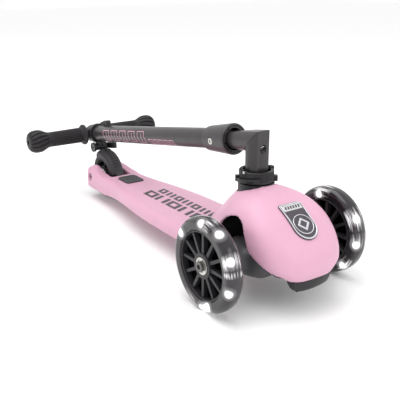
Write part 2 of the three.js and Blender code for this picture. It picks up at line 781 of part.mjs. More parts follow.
// ---- Handlebar ----
function grip(side) {
  const { gripStart, gripEnd, radius } = handlebar;
  const bore = radius + gap;
  const profile = [
    [bore, gripStart], [18, gripStart], [18.5, gripStart + 2], [17.5, gripStart + 4.5], [14, gripStart + 6],
    [13.2, 88], [15.5, 95], [19.2, 103], [20, 111], [18.8, 119.5],
    [14, 125.8], [10, gripEnd], [0, gripEnd], [0, handlebar.halfLength + gap],
    [bore, handlebar.halfLength + gap],
  ];
  const scaled = profile.map(([r, y]) => [r, y * side]);
  const points = scaled.map(([r, y]) => new THREE.Vector2(r, y));
  points.push(points[0].clone());
  return solid(new THREE.LatheGeometry(points, 20));
}

function addHandlebar(parent) {
  const group = new THREE.Group();
  group.position.x = -handlebarAt;
  const bar = ring(handlebar.radius - 2, handlebar.radius, -handlebar.halfLength, handlebar.halfLength, 20);
  addPart(group, 'handlebar', solid(bar), darkAluminium);
  const { radius, rear, front } = hub;
  const shell = solid(onBar(turned([
    [0, -rear], [9, -rear], [13.5, -rear + 2.5], [radius, -rear + 7], [radius, front - 1],
    [radius - 1, front], [0, front],
  ], 24)));
  const crossBore = rod(handlebar.radius + gap, -40, 40, 24);
  const socket = onBar(rod(innerPost.outer + gap, 0, 40, 24));
  addPart(group, 'bar_hub', cut(shell, crossBore, socket), blackPlastic);
  addPart(group, 'grip_left', grip(1), blackRubber);
  addPart(group, 'grip_right', grip(-1), blackRubber);
  const reach = handlebarAt - innerPost.front;
  const post = solid(onBar(ring(innerPost.inner, innerPost.outer, handlebar.radius + 1, reach, 24)));
  const keyway = block([-10, 400], [-5.2, 5.2], [5, 20]);
  addPart(group, 'inner_post', cut(post, keyway), darkAluminium);
  parent.add(group);
}

// ---- Assembly ----
const scooter = new THREE.Group();
addHoodAndDeck(scooter);
addPart(scooter, 'badge_plate', badge(), badgeMetal);
addPart(scooter, 'chin_guard', chinGuard(), blackPlastic);
addPostAndCollar(scooter);
addSteeringPivot(scooter);
addRearAxle(scooter);
addBrake(scooter);
addTruck(scooter);
addWheel(scooter, 'front_left', frontWheel, [0, halfTrack, frontWheel.radius]);
addWheel(scooter, 'front_right', frontWheel, [0, -halfTrack, frontWheel.radius]);
addWheel(scooter, 'rear', rearWheel, [-wheelbase, 0, rearWheel.radius]);
addBar(scooter);

// The origin is the middle of the whole object's footprint, on the ground.
const bounds = new THREE.Box3().setFromObject(scooter, true);
scooter.position.set(-(bounds.min.x + bounds.max.x) / 2, -(bounds.min.y + bounds.max.y) / 2, -bounds.min.z);

export default scooter;
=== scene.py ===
"""Looks for the folding kick scooter: its visible pieces, their materials, the light and the camera.

Lengths in the shape code are millimetres, in one of these local frames:
GROUND  under the front axle: +X riding direction, +Y rider's left, +Z up
HEAD    the fold joint, with the axes of GROUND
BAR     the fold joint, with the folded bar lying along -X
wheels  a wheel's centre, with the axes of GROUND
"""
import json
import math

import bmesh
import bpy
from mathutils import Matrix, Vector
from mathutils.bvhtree import BVHTree


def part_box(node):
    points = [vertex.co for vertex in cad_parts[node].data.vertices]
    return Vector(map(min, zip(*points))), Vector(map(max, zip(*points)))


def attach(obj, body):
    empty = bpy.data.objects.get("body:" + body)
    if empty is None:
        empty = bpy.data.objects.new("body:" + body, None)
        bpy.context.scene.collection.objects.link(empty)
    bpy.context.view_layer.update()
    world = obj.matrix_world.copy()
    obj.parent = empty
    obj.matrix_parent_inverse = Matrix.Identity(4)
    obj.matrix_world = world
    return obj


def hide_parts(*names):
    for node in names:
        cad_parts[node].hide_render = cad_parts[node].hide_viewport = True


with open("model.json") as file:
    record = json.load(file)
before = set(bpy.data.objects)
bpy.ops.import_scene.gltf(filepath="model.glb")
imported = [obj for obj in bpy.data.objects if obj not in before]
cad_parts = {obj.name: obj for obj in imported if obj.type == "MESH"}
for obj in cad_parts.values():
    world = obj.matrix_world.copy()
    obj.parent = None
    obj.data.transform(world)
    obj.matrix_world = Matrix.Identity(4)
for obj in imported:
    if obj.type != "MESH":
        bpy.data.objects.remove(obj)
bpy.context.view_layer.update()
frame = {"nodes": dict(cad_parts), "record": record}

MM = 0.001
SHARP = math.radians(38)

low_corner, high_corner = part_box("tyre_front_left")
AXLE_X = (low_corner.x + high_corner.x) / 2
FOLD = math.atan(0.18)  # how far the folded bar slopes down towards the back
JOINT_X, JOINT_Z = -35.8, 191.5
HALF_TRACK = 101.5
WHEELBASE = 458
FRONT_RADIUS, REAR_RADIUS = 60, 40
AXLE_BORE = 4.2


def at(x, y, z):
    return Matrix.Translation((AXLE_X + x * MM, y * MM, z * MM))


def moved(place, x, y, z):
    return place @ Matrix.Translation((x * MM, y * MM, z * MM))


def turned(place, angle, axis):
    return place @ Matrix.Rotation(angle, 4, axis)


GROUND = at(0, 0, 0)
HEAD = at(JOINT_X, 0, JOINT_Z)
BAR = turned(HEAD, -FOLD, "Y")
POST_FOOT = at(JOINT_X, 0, 0)
REAR_WHEEL = at(-WHEELBASE, 0, REAR_RADIUS)


# ---- Shape helpers ----
def mark_sharp(bm):
    for edge in bm.edges:
        edge.smooth = edge.calc_face_angle(0) < SHARP


def link(name, bm, place):
    """A new object from bm, shaded smooth except across sharp edges."""
    bmesh.ops.recalc_face_normals(bm, faces=bm.faces)
    for face in bm.faces:
        face.smooth = True
    mark_sharp(bm)
    mesh = bpy.data.meshes.new(name)
    bm.to_mesh(mesh)
    bm.free()
    obj = bpy.data.objects.new(name, mesh)
    bpy.context.scene.collection.objects.link(obj)
    obj.matrix_world = place
    return obj


def solid(name, points, faces, place):
    bm = bmesh.new()
    verts = [bm.verts.new([c * MM for c in p]) for p in points]
    for face in faces:
        corners = list(dict.fromkeys(face))
        if len(corners) > 2:
            bm.faces.new([verts[i] for i in corners])
    return link(name, bm, place)


def along(axis, a, b, h):
    """The point with height h along the axis, and a and b across it."""
    return {"X": (h, a, b), "Y": (a, h, b), "Z": (a, b, h)}[axis]


def lathe(name, profile, place, axis="Y", steps=96, radius_at=None):
    """A closed profile of (radius, height) turned about the axis. radius_at(r, h, t) reshapes it."""
    points, rows = [], []
    for r, h in profile:
        row = []
        for j in range(steps if r > 0 else 1):
            t = 2 * math.pi * j / steps
            reach = radius_at(r, h, t) if radius_at and r > 0 else r
            row.append(len(points))
            points.append(along(axis, reach * math.cos(t), reach * math.sin(t), h))
        rows.append(row if r > 0 else row * steps)
    hollow = profile[0][0] > 0
    faces = []
    for i in range(len(rows) - (0 if hollow else 1)):
        a, b = rows[i], rows[(i + 1) % len(rows)]
        for j in range(steps):
            k = (j + 1) % steps
            faces.append((a[j], a[k], b[k], b[j]))
    return solid(name, points, faces, place)


def loft(name, rings, place, closed=False):
    """A skin over rings of points, capped at both ends, or joined end to end if closed."""
    count = len(rings[0])
    points = [p for ring in rings for p in ring]
    faces = []
    for i in range(len(rings) - (0 if closed else 1)):
        a, b = i * count, ((i + 1) % len(rings)) * count
        for j in range(count):
            k = (j + 1) % count
            faces.append((a + j, a + k, b + k, b + j))
    if not closed:
        faces += [tuple(range(count)), tuple(range(len(points) - count, len(points)))]
    return solid(name, points, faces, place)


def stroke(points, faces, start, end, across, heights, count, surface):
    """Adds a printed bar from start to end, widened by across, in count lengths, to points and faces.

    surface turns a flat place and a height into a point.
    """
    base = len(points)
    for i in range(count + 1):
        near = [a + (b - a) * i / count for a, b in zip(start, end)]
        far = [a + b for a, b in zip(near, across)]
        corners = ((near, heights[0]), (far, heights[0]), (far, heights[1]), (near, heights[1]))
        points.extend([surface(*corner, height) for corner, height in corners])
    for a in range(base, base + 4 * count, 4):
        faces.extend([(a + j, a + (j + 1) % 4, a + 4 + (j + 1) % 4, a + 4 + j) for j in range(4)])
    end_cap = base + 4 * count
    faces.extend([tuple(range(base, base + 4)), tuple(range(end_cap, end_cap + 4))])


def prism(name, outline, low, high, place, axis="Y"):
    return loft(name, [[along(axis, a, b, h) for a, b in outline] for h in (low, high)], place)


def rectangle(a, b):
    """The corners of the rectangle over the spans a and b."""
    return [(a[0], b[0]), (a[1], b[0]), (a[1], b[1]), (a[0], b[1])]


def block(name, x, y, z, place):
    return prism(name, rectangle(x, z), *y, place)


def rod(name, radius, low, high, place, axis="Y", steps=48):
    return lathe(name, [(0, low), (radius, low), (radius, high), (0, high)], place, axis, steps)


def rounded(outline, radius, closed=True, steps=4):
    """A 2-D outline with its corners rounded off."""
    last = len(outline) - 1
    out = []
    for i, corner in enumerate(outline):
        if not closed and i in (0, last):
            out.append(tuple(corner))
            continue
        here = Vector(corner)
        back, ahead = Vector(outline[i - 1]) - here, Vector(outline[(i + 1) % (last + 1)]) - here
        start = here + back.normalized() * min(radius, back.length * 0.45)
        end = here + ahead.normalized() * min(radius, ahead.length * 0.45)
        for k in range(steps + 1):
            t = k / steps
            out.append(tuple(start * (1 - t) ** 2 + here * 2 * t * (1 - t) + end * t * t))
    return out


def bezier(p0, p1, p2, p3, steps=14):
    """Points of a cubic curve, without its first."""
    out = []
    for i in range(1, steps + 1):
        t = i / steps
        s = 1 - t
        weights = (s ** 3, 3 * s * s * t, 3 * s * t * t, t ** 3)
        out.append(tuple(sum(w * p[k] for w, p in zip(weights, (p0, p1, p2, p3))) for k in (0, 1)))
    return out


def spread(rows, steps):
    """Rows of numbers with steps rows for each given one, on a smooth curve through them."""
    out = []
    for i in range(len(rows) - 1):
        p1, p2 = rows[i], rows[i + 1]
        p0 = rows[i - 1] if i > 0 else p1
        p3 = rows[i + 2] if i + 2 < len(rows) else p2
        for k in range(steps):
            t = k / steps
            out.append([
                b + 0.5 * t * (c - a + t * (2 * a - 5 * b + 4 * c - d + t * (3 * (b - c) + d - a)))
                for a, b, c, d in zip(p0, p1, p2, p3)
            ])
    out.append(list(rows[-1]))
    return out


def signed_power(value, power):
    """The power of the value's size, with the value's sign."""
    return math.copysign(abs(value) ** power, value)


def bake(obj):
    """Applies the object's modifiers to its mesh."""
    bpy.context.view_layer.update()
    graph = bpy.context.evaluated_depsgraph_get()
    mesh = bpy.data.meshes.new_from_object(obj.evaluated_get(graph))
    obj.modifiers.clear()
    obj.data = mesh
    return obj


def combine(obj, operation, *tools):
    for tool in tools:
        boolean = obj.modifiers.new("boolean", "BOOLEAN")
        boolean.solver = "MANIFOLD"
        boolean.operation = operation
        boolean.object = tool
        bake(obj)
        bpy.data.objects.remove(tool)
    return obj


def join(obj, *tools):
    return combine(obj, "UNION", *tools)


def cut(obj, *tools):
    return combine(obj, "DIFFERENCE", *tools)


def crisp(obj):
    """Marks the object's sharp edges, so that its smooth faces shade cleanly up to them."""
    bm = bmesh.new()
    bm.from_mesh(obj.data)
    mark_sharp(bm)
    bm.to_mesh(obj.data)
    bm.free()
    return obj


def soften(obj, width, segments=3, angle=30):
    """Rounds the object's sharp edges by width."""
    bevel = obj.modifiers.new("edges", "BEVEL")
    bevel.width = width * MM
    bevel.segments = segments
    bevel.limit_method = "ANGLE"
    bevel.angle_limit = math.radians(angle)
    bevel.harden_normals = True
    bake(obj)
    obj.data.polygons.foreach_set("use_smooth", [True] * len(obj.data.polygons))
    return obj


def piece(obj, body, look, slot, *nodes):
    """Gives the piece its look and its body, and hides the CAD nodes that it stands for."""
    obj.data.materials.clear()
    obj.data.materials.append(look)
    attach(obj, body)
    if nodes:
        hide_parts(*nodes)
    return obj


# ---- Material helpers ----
# Cells of noise per metre: mottled colour, soft unevenness, smudges, and patches of edge wear with painted
# edge highlight.
MOTTLE_SCALE, WAVE_SCALE, SMUDGE_SCALE, WEAR_AND_SHEEN_SCALE = 28.0, 60.0, 75.0, 160.0


def add(tree, kind, **settings):
    """A shader node. Its own settings come first, then its inputs, which are set or linked."""
    node = tree.nodes.new("ShaderNode" + kind)
    for key, value in settings.items():
        if hasattr(node, key):
            setattr(node, key, value)
            continue
        socket = node.inputs[int(key[1:])] if key[1:].isdigit() else node.inputs[key]
        if isinstance(value, bpy.types.NodeSocket):
            tree.links.new(value, socket)
        else:
            socket.default_value = value
    return node


def math_node(tree, operation, a, b=0.0):
    return add(tree, "Math", operation=operation, i0=a, i1=b).outputs[0]


def plus(tree, a, b):
    return math_node(tree, "ADD", a, b)


def times(tree, a, b):
    return math_node(tree, "MULTIPLY", a, b)


def span(tree, value, low, high, to_low, to_high):
    """The value's range low to high mapped to to_low to to_high, and held at its ends."""
    return add(tree, "MapRange", i0=value, i1=low, i2=high, i3=to_low, i4=to_high).outputs[0]


def ramp(tree, value, *stops):
    """A colour that runs between two stops of (position, colour)."""
    node = add(tree, "ValToRGB", Fac=value)
    for element, (position, color) in zip(node.color_ramp.elements, stops):
        element.position = position
        element.color = (*color, 1)
    return node.outputs["Color"]


def noise(tree, point, scale, detail=3.0, roughness=0.55):
    found = add(tree, "TexNoise", Vector=point, Scale=scale, Detail=detail, Roughness=roughness)
    return found.outputs["Fac"]


def start(name, **fixed):
    """A new material: its tree, its Principled shader and its object coordinates."""
    made = bpy.data.materials.new(name)
    made.use_nodes = True
    tree = made.node_tree
    shader = tree.nodes["Principled BSDF"]
    for key, value in fixed.items():
        shader.inputs[key.replace("_", " ")].default_value = value
    point = add(tree, "TexCoord").outputs["Object"]
    return made, tree, shader, point


def shade(color, factor):
    return tuple(min(1.0, c * factor) for c in color)


def finish(tree, shader, point, base, rough, grain, depth, mottle=0.06, wear=0.0, worn=(0.7, 0.7, 0.7)):
    """Mottled colour, uneven roughness, edges lightened as wear and as painted highlight, and a fine grain
    of depth mm, grain mm across.
    """
    slow = noise(tree, point, MOTTLE_SCALE, 4.0)
    color = ramp(tree, slow, (0.25, shade(base, 1 - mottle)), (0.75, shade(base, 1 + mottle)))
    # Convex edges, found by pointiness, are lightened in patches: partly wear, partly a painted edge
    # highlight.
    if wear:
        edge = add(tree, "NewGeometry").outputs["Pointiness"]
        rim = span(tree, edge, 0.52, 0.60, 0.0, wear)
        patchy = times(tree, rim, noise(tree, point, WEAR_AND_SHEEN_SCALE))
        color = add(tree, "MixRGB", Fac=patchy, Color1=color, Color2=(*worn, 1)).outputs[0]
    tree.links.new(color, shader.inputs["Base Color"])
    smudge = noise(tree, point, SMUDGE_SCALE, 5.0, 0.65)
    uneven = span(tree, smudge, 0.3, 0.7, max(0.02, rough - 0.06), rough + 0.08)
    tree.links.new(uneven, shader.inputs["Roughness"])
    fine = noise(tree, point, 1000.0 / grain, 2.0)
    height = plus(tree, fine, times(tree, noise(tree, point, WAVE_SCALE, 2.0), 1.6))
    bump = add(tree, "Bump", Strength=1.0, Distance=depth * MM, Height=height)
    tree.links.new(bump.outputs[0], shader.inputs["Normal"])


def moulded(name, base, rough, grain=0.8, depth=0.02, specular=0.5, fixed=None, **more):
    """Injection-moulded plastic or rubber."""
    made, tree, shader, point = start(name, Specular_IOR_Level=specular, **(fixed or {}))
    finish(tree, shader, point, base, rough, grain, depth, **more)
    return made


def metal(name, base, rough, stretch, depth=0.006, metallic=1.0, **more):
    """Metal with fine marks drawn out along one axis."""
    made, tree, shader, point = start(name, Metallic=metallic)
    finish(tree, shader, point, base, rough, 0.5, depth, **more)
    drawn = add(tree, "Mapping", Vector=point, Scale=stretch).outputs[0]
    lines = noise(tree, drawn, 900.0, 3.0, 0.7)
    smudge = noise(tree, point, WAVE_SCALE, 4.0)
    marks = plus(tree, times(tree, lines, 0.5), smudge)
    level = span(tree, marks, 0.4, 1.1, rough - 0.06, rough + 0.1)
    tree.links.new(level, shader.inputs["Roughness"])
    return made


# ---- Materials ----
pink_shell = moulded(
    "pink_shell", (0.655, 0.360, 0.480), 0.42, depth=0.035, mottle=0.03,
    fixed={"Coat_Weight": 0.05, "Coat_Roughness": 0.35, "Subsurface_Weight": 0.08,
           "Subsurface_Scale": 0.003, "Subsurface_Radius": (1.0, 0.6, 0.7)})
black_plastic = moulded(
    "black_plastic", (0.012, 0.011, 0.013), 0.32, grain=0.6, mottle=0.18, wear=0.5,
    worn=(0.10, 0.10, 0.11), specular=0.36)
fender_plastic = moulded(
    "fender_plastic", (0.030, 0.026, 0.030), 0.46, grain=0.5, depth=0.03, mottle=0.2, wear=0.5,
    worn=(0.12, 0.12, 0.13), specular=0.35)
grip_rubber = moulded(
    "grip_rubber", (0.018, 0.016, 0.018), 0.5, grain=0.45, depth=0.03, mottle=0.2, wear=0.35,
    worn=(0.10, 0.10, 0.11), specular=0.3)
pad_rubber = moulded("pad_rubber", (0.050, 0.048, 0.052), 0.55, grain=0.7, depth=0.06, mottle=0.14)
rear_tyre_rubber = moulded(
    "rear_tyre_rubber", (0.009, 0.009, 0.010), 0.6, depth=0.03, mottle=0.2, wear=0.3,
    worn=(0.10, 0.10, 0.10))
rim_plastic = moulded(
    "rim_plastic", (0.022, 0.020, 0.023), 0.42, grain=0.5, depth=0.015, mottle=0.14, wear=0.3,
    worn=(0.08, 0.08, 0.09), specular=0.4)
rear_rim_plastic = moulded(
    "rear_rim_plastic", (0.006, 0.006, 0.007), 0.6, grain=0.5, mottle=0.2, specular=0.25)
truck_plastic = moulded(
    "truck_plastic", (0.055, 0.052, 0.056), 0.42, grain=0.7, depth=0.03, mottle=0.12, wear=0.4,
    worn=(0.16, 0.16, 0.17))
# Near-black, dull plastic: the pivot frame's colour, and painted shade on the black shell inside the hood.
inner_plastic = moulded(
    "inner_plastic", (0.004, 0.004, 0.004), 0.8, grain=0.7, depth=0.03, mottle=0.2, specular=0.15)
# Black and nearly unreflective: painted shade across the middle of the front wheels, between the spokes.
rim_web = moulded("rim_web", (0.001, 0.001, 0.001), 0.9, grain=0.5, mottle=0.2, specular=0.02)
deck_ink = moulded("deck_ink", (0.030, 0.025, 0.028), 0.4, grain=0.5, depth=0.01, mottle=0.12)
tube_ink = moulded("tube_ink", (0.78, 0.40, 0.52), 0.4, grain=0.5, depth=0.01, mottle=0.08)
badge_field = moulded("badge_field", (0.060, 0.050, 0.064), 0.3, grain=0.6, mottle=0.2)
dark_aluminium = metal(
    "dark_aluminium", (0.066, 0.061, 0.064), 0.32, (0.05, 1, 1), metallic=0.55, wear=0.15,
    worn=(0.30, 0.29, 0.30))
# The post's copy of the bar's metal, with its marks drawn up and down, and darker than dark_aluminium as
# painted shade on the upright post.
post_aluminium = metal(
    "post_aluminium", (0.048, 0.045, 0.047), 0.34, (1, 1, 0.05), metallic=0.55, wear=0.1,
    worn=(0.30, 0.29, 0.30))
steel = metal("steel", (0.56, 0.55, 0.52), 0.24, (1, 0.1, 1), wear=0.3)
dull_steel = metal("dull_steel", (0.16, 0.155, 0.15), 0.34, (1, 0.2, 1), mottle=0.15)
badge_metal = metal("badge_metal", (0.72, 0.72, 0.74), 0.24, (1, 1, 0.1), mottle=0.05, metallic=0.9)

SLOTS = {
    "pink_shell": pink_shell, "black_plastic": black_plastic, "black_rubber": grip_rubber,
    "dark_aluminium": dark_aluminium, "steel": steel, "black_tyre": rear_tyre_rubber,
    "rim_plastic": rim_plastic, "badge_metal": badge_metal,
}


# ---- Pink skin: hood, deck and fork ----
# Height, front reach, half width and rear reach of the hood's outline at rising levels.
HOOD_LEVELS = [
    (45, 81, 42, -95), (52, 83, 52, -110), (62, 85, 61, -128), (75, 81, 64, -116),
    (90, 71, 64, -99), (105, 54.5, 61, -83), (118, 36, 51, -70), (127, 18, 38, -62),
    (133, 4, 25, -55), (137.5, -10, 11, -46),
]
HOOD_WIDEST_X = -5
HOOD_SQUARE, HOOD_LOW_SQUARE, HOOD_TAIL = 0.625, 0.515, 0.85
HOOD_WALL = 3.6
HOOD_BACK = -66
HOOD_LOW_EDGE = 45.5
# Position, half width, underside and top of the deck, from the hood back to the fork.
DECK_STATIONS = [
    (-62, 50, 31, 54.5), (-100, 57, 30, 54.5), (-160, 58.5, 29.5, 54), (-220, 57.5, 29.5, 53.5),
    (-270, 54, 29, 53), (-310, 48.5, 28, 52.5), (-345, 42.6, 25.2, 52), (-375, 38.8, 22, 51.5),
    (-405, 37.5, 19, 51), (-440, 37.5, 18.5, 50),
]
DECK_HOLLOW = (-388, -104)
DECK_WALL, DECK_HALF_RIB = 4, 2.5
CHEEK_OUTER, FORK_HALF_GAP = 38, 18.5
CHEEK_FRONT, CHEEK_TIP = -402, -461
HINGE_X, HINGE_Z = -411.5, 40.5
FORK_EDGE_RADIUS, FORK_LOW_RADIUS, FORK_TIP_RADIUS = 22, 9, 16
POST_RADIUS, POST_FLAT = 15, 12
COLLAR_BASE_RADIUS = 23.7


def hood_outline(z, front, half, rear, count=112):
    """The hood's outline at height z, squarer at its front corners near the ground."""
    points = []
    lowness = min(1.0, max(0.0, (66 - z) / 21))
    square = HOOD_SQUARE - (HOOD_SQUARE - HOOD_LOW_SQUARE) * lowness
    for i in range(count):
        t = 2 * math.pi * i / count
        forward, aside = math.cos(t), math.sin(t)
        if forward >= 0:
            x = HOOD_WIDEST_X + (front - HOOD_WIDEST_X) * forward ** square
            points.append((x, half * signed_power(aside, square), z))
        else:
            x = HOOD_WIDEST_X + (HOOD_WIDEST_X - rear) * forward
            points.append((x, half * math.copysign((1 - forward ** 2) ** HOOD_TAIL, aside), z))
    return points


def hood_form(name, inset):
    """The hood's form drawn in by inset. One that is drawn in reaches below the hood's edge."""
    rings = []
    for z, front, half, rear in spread(HOOD_LEVELS, 5):
        low = 20 if inset and z < 46 else 0
        rings.append(hood_outline(z - low - inset, front - inset, half - inset, rear + inset))
    return loft(name, rings, GROUND)


def deck_ring(x, half, low, high):
    """The deck's section at x, with rounded edges above and below."""
    upper, lower, steps = 11, 9, 8
    corners = [(half - upper, high - upper, upper), (upper - half, high - upper, upper),
               (lower - half, low + lower, lower), (half - lower, low + lower, lower)]
    points = []
    for quarter, (y, z, radius) in enumerate(corners):
        for i in range(steps + 1):
            t = math.pi / 2 * (quarter + i / steps)
            points.append((x, y + radius * math.cos(t), z + radius * math.sin(t)))
    return points


def deck_form(name, rows):
    return loft(name, [deck_ring(*row) for row in spread(rows, 6)], GROUND)


def ellipse_arc(cx, cz, rx, rz, start, end, steps=16):
    """Points of an ellipse from start to end, in quarter turns, without its first."""
    turns = [(start + (end - start) * i / steps) * math.pi / 2 for i in range(1, steps + 1)]
    return [(cx + rx * math.cos(t), cz + rz * math.sin(t)) for t in turns]


def cheek_outline():
    points = [(CHEEK_FRONT, 20), (CHEEK_FRONT, 47)]
    points += bezier(points[-1], (-412, 52), (-426, 51.5), (-436, 53))
    points += bezier(points[-1], (-444, 55), (-450, 60.5), (CHEEK_TIP, 60))
    points += ellipse_arc(CHEEK_TIP, 40, 17, 20, 1, 2.8)
    return points + bezier(points[-1], (-450, 18.5), (-425, 18), (CHEEK_FRONT, 20))[:-1]


def fork_limits():
    """Solids that round the fork off seen from behind and from above."""
    edge, low, tip = FORK_EDGE_RADIUS, FORK_LOW_RADIUS, FORK_TIP_RADIUS
    side, low_side, tip_side = CHEEK_OUTER - edge, CHEEK_OUTER - low, CHEEK_OUTER - tip
    section = ellipse_arc(-low_side, 27, low, low, 2, 3)
    section += ellipse_arc(low_side, 27, low, low, 3, 4)
    section += ellipse_arc(side, 37, edge, edge + 2, 0, 1)
    section += ellipse_arc(-side, 37, edge, edge + 2, 1, 2)
    plan = [(-380, -CHEEK_OUTER - 1), (CHEEK_TIP, -CHEEK_OUTER)]
    plan += ellipse_arc(CHEEK_TIP, -tip_side, tip, tip, 3, 2)
    plan += ellipse_arc(CHEEK_TIP, tip_side, tip, tip, 2, 1)
    plan += [(-380, CHEEK_OUTER + 1)]
    return (prism("fork_section", section, -500, -380, GROUND, "X"),
            prism("fork_plan", plan, 0, 100, GROUND, "Z"))


def arch_outline():
    points = [(-56, 10), (-56, 50)]
    points += bezier(points[-1], (-51, 78), (-27, 110.5), (-3, 110.5))
    points += bezier(points[-1], (11, 110.5), (18, 100), (23.5, 83))
    points += bezier(points[-1], (29, 66), (56, 66), (61, 46))
    return points + [(61, 10)]


def pad_outline(margin):
    half = 16.5 + margin
    return rounded(rectangle((-391 - margin, -353 + margin), (-half, half)), 7, steps=8)


def hood_openings(low_edge, neck_radius):
    """Solids for the hood's open underside, its two side arches and the hole for the collar."""
    return (block("underside", (HOOD_BACK, 200), (-100, 100), (0, low_edge), GROUND),
            prism("arch_right", arch_outline(), -90, -20, GROUND),
            prism("arch_left", arch_outline(), 20, 90, GROUND),
            rod("neck", neck_radius, 80, 200, POST_FOOT, "Z"))


def space_from(name, x):
    """All the space round the hood in front of x."""
    return block(name, (x, 200), (-100, 100), (0, 200), GROUND)


def pink_skin():
    skin = join(hood_form("skin", 0), deck_form("deck_form", DECK_STATIONS))
    for side, (low, high) in enumerate([(-CHEEK_OUTER, -FORK_HALF_GAP), (FORK_HALF_GAP, CHEEK_OUTER)]):
        cheek = prism(f"cheek_{side}", cheek_outline(), low, high, GROUND)
        join(skin, combine(cheek, "INTERSECT", *fork_limits()))
    cavity = combine(hood_form("cavity", HOOD_WALL), "INTERSECT", space_from("front_room", HOOD_BACK))
    under = [(x, half - DECK_WALL, -12, high - DECK_WALL) for x, half, _, high in DECK_STATIONS]
    for low, high in ((-90, -DECK_HALF_RIB), (DECK_HALF_RIB, 90)):
        room = block("under_room", DECK_HOLLOW, (low, high), (-30, 130), GROUND)
        cut(skin, combine(deck_form("under_form", under), "INTERSECT", room))
    cut(skin, cavity, *hood_openings(HOOD_LOW_EDGE, COLLAR_BASE_RADIUS + 0.4),
        block("wheel_slot", (-520, -406), (-FORK_HALF_GAP, FORK_HALF_GAP), (0, 120), GROUND),
        prism("pad_recess", pad_outline(0.7), 50.2, 60, GROUND, "Z"),
        rod("axle_bore", AXLE_BORE, -60, 60, REAR_WHEEL),
        rod("head_room_right", 7, -60, -29, REAR_WHEEL), rod("head_room_left", 7, 29, 60, REAR_WHEEL))
    remesh = skin.modifiers.new("remesh", "REMESH")
    remesh.mode = "VOXEL"
    remesh.voxel_size = 1.25 * MM
    smooth = skin.modifiers.new("smooth", "SMOOTH")
    smooth.factor = 0.5
    smooth.iterations = 9
    bake(skin)
    skin.data.polygons.foreach_set("use_smooth", [True] * len(skin.data.polygons))
    skin.data.update()
    return piece(skin, "chassis", pink_shell, "pink_shell", "deck", "nose_hood")


def hood_liner():
    """A thin black shell just inside the hood, with a wall across its back: painted shade, standing in for
    the shadow on the hood's pink inner walls.
    """
    gap, wall = 0.3, 1.4
    outer_room = space_from("liner_room", HOOD_BACK + 0.4)
    shade_shell = combine(hood_form("hood_liner", HOOD_WALL + gap), "INTERSECT", outer_room)
    inner_room = space_from("inner_room", HOOD_BACK + 0.4 + wall)
    hollow = combine(hood_form("liner_hollow", HOOD_WALL + gap + wall), "INTERSECT", inner_room)
    cut(shade_shell, hollow, *hood_openings(HOOD_LOW_EDGE + 5.5, COLLAR_BASE_RADIUS + 0.6))
    piece(shade_shell, "chassis", inner_plastic, "black_plastic")


skin = pink_skin()
# A black shell of painted shade inside the hood.
hood_liner()
skin_tree = BVHTree.FromPolygons([skin.matrix_world @ v.co for v in skin.data.vertices],
                                 [p.vertices[:] for p in skin.data.polygons])


def drape(obj, down, reach=40):
    """Moves each point along down so that its height, kept in place, starts from the pink skin."""
    place = obj.matrix_world.copy()
    back = place.inverted()
    down = down.normalized()
    for vertex in obj.data.vertices:
        here = place @ vertex.co
        height = vertex.co.z
        base = here + down * height
        hit, *_ = skin_tree.ray_cast(base - down * reach * MM, down)
        vertex.co = back @ ((hit or base) - down * height)
    obj.data.update()
    return obj


# ---- Deck: graphics and pad ----
# Each printed row: its rear end, its two sides, a panel's length, the pitch and the number of panels.
DECK_ROWS = ((-299, -22, -2.5, 28, 33, 5), (-294, 3, 18.5, 18, 23.3, 7))


def deck_marks():
    """Two rows printed on the deck: bold slanted panels, with pairs of bars between them."""
    points, faces = [], []

    def bar(start, end, across):
        stroke(points, faces, start, end, across, (-0.3, 0.12), 8, lambda x, y, height: (x, y, height))

    for first, low, high, length, pitch, count in DECK_ROWS:
        lean, bold = (high - low) * 0.35, (high - low) * 0.33
        wide, thin = bold * 1.2, bold * 0.75
        for i in range(count):
            x = first + pitch * i
            last = x + length - wide
            bar((x + lean, low), (x, high), (wide, 0))
            bar((last + lean, low), (last, high), (wide, 0))
            if i % 2 == 0:
                bar((x + lean + bold, low), (last + lean, low), (0, thin))
                bar((x + bold, high - thin), (last, high - thin), (0, thin))
    marks = solid("deck_marks", points, faces, GROUND)
    piece(drape(marks, Vector((0, 0, -1)), 80), "chassis", deck_ink, "pink_shell")


def pad():
    levels = [(50.8, -0.2), (52.6, 0), (53.15, -0.25), (53.4, -0.8), (53.4, -2.6), (53.05, -3.0),
              (53.05, -6)]
    rings = [[(x, y, z) for x, y in pad_outline(margin)] for z, margin in levels]
    made = loft("deck_pad_rubber", rings, GROUND)
    piece(made, "chassis", pad_rubber, "black_rubber", "deck_pad")
    for i in range(4):
        x = -384.5 + 8.4 * i
        ridge = rounded(rectangle((x - 1.5, x + 1.5), (-10.5, 10.5)), 1.4)
        bar = soften(prism(f"pad_ridge_{i}", ridge, 52.9, 53.45, GROUND, "Z"), 0.15, 2)
        piece(bar, "chassis", pad_rubber, "black_rubber")


deck_marks()
pad()


# ---- Badge and chin guard ----
BADGE_LEAN = math.atan2(29.2, 39.3)  # the hood's rise over its run where the badge sits
BADGE = moved(GROUND, 49.35, 0, 110.3) @ Matrix((
    (0, -math.cos(BADGE_LEAN), math.sin(BADGE_LEAN), 0),
    (1, 0, 0, 0),
    (0, math.sin(BADGE_LEAN), math.cos(BADGE_LEAN), 0),
    (0, 0, 0, 1),
))


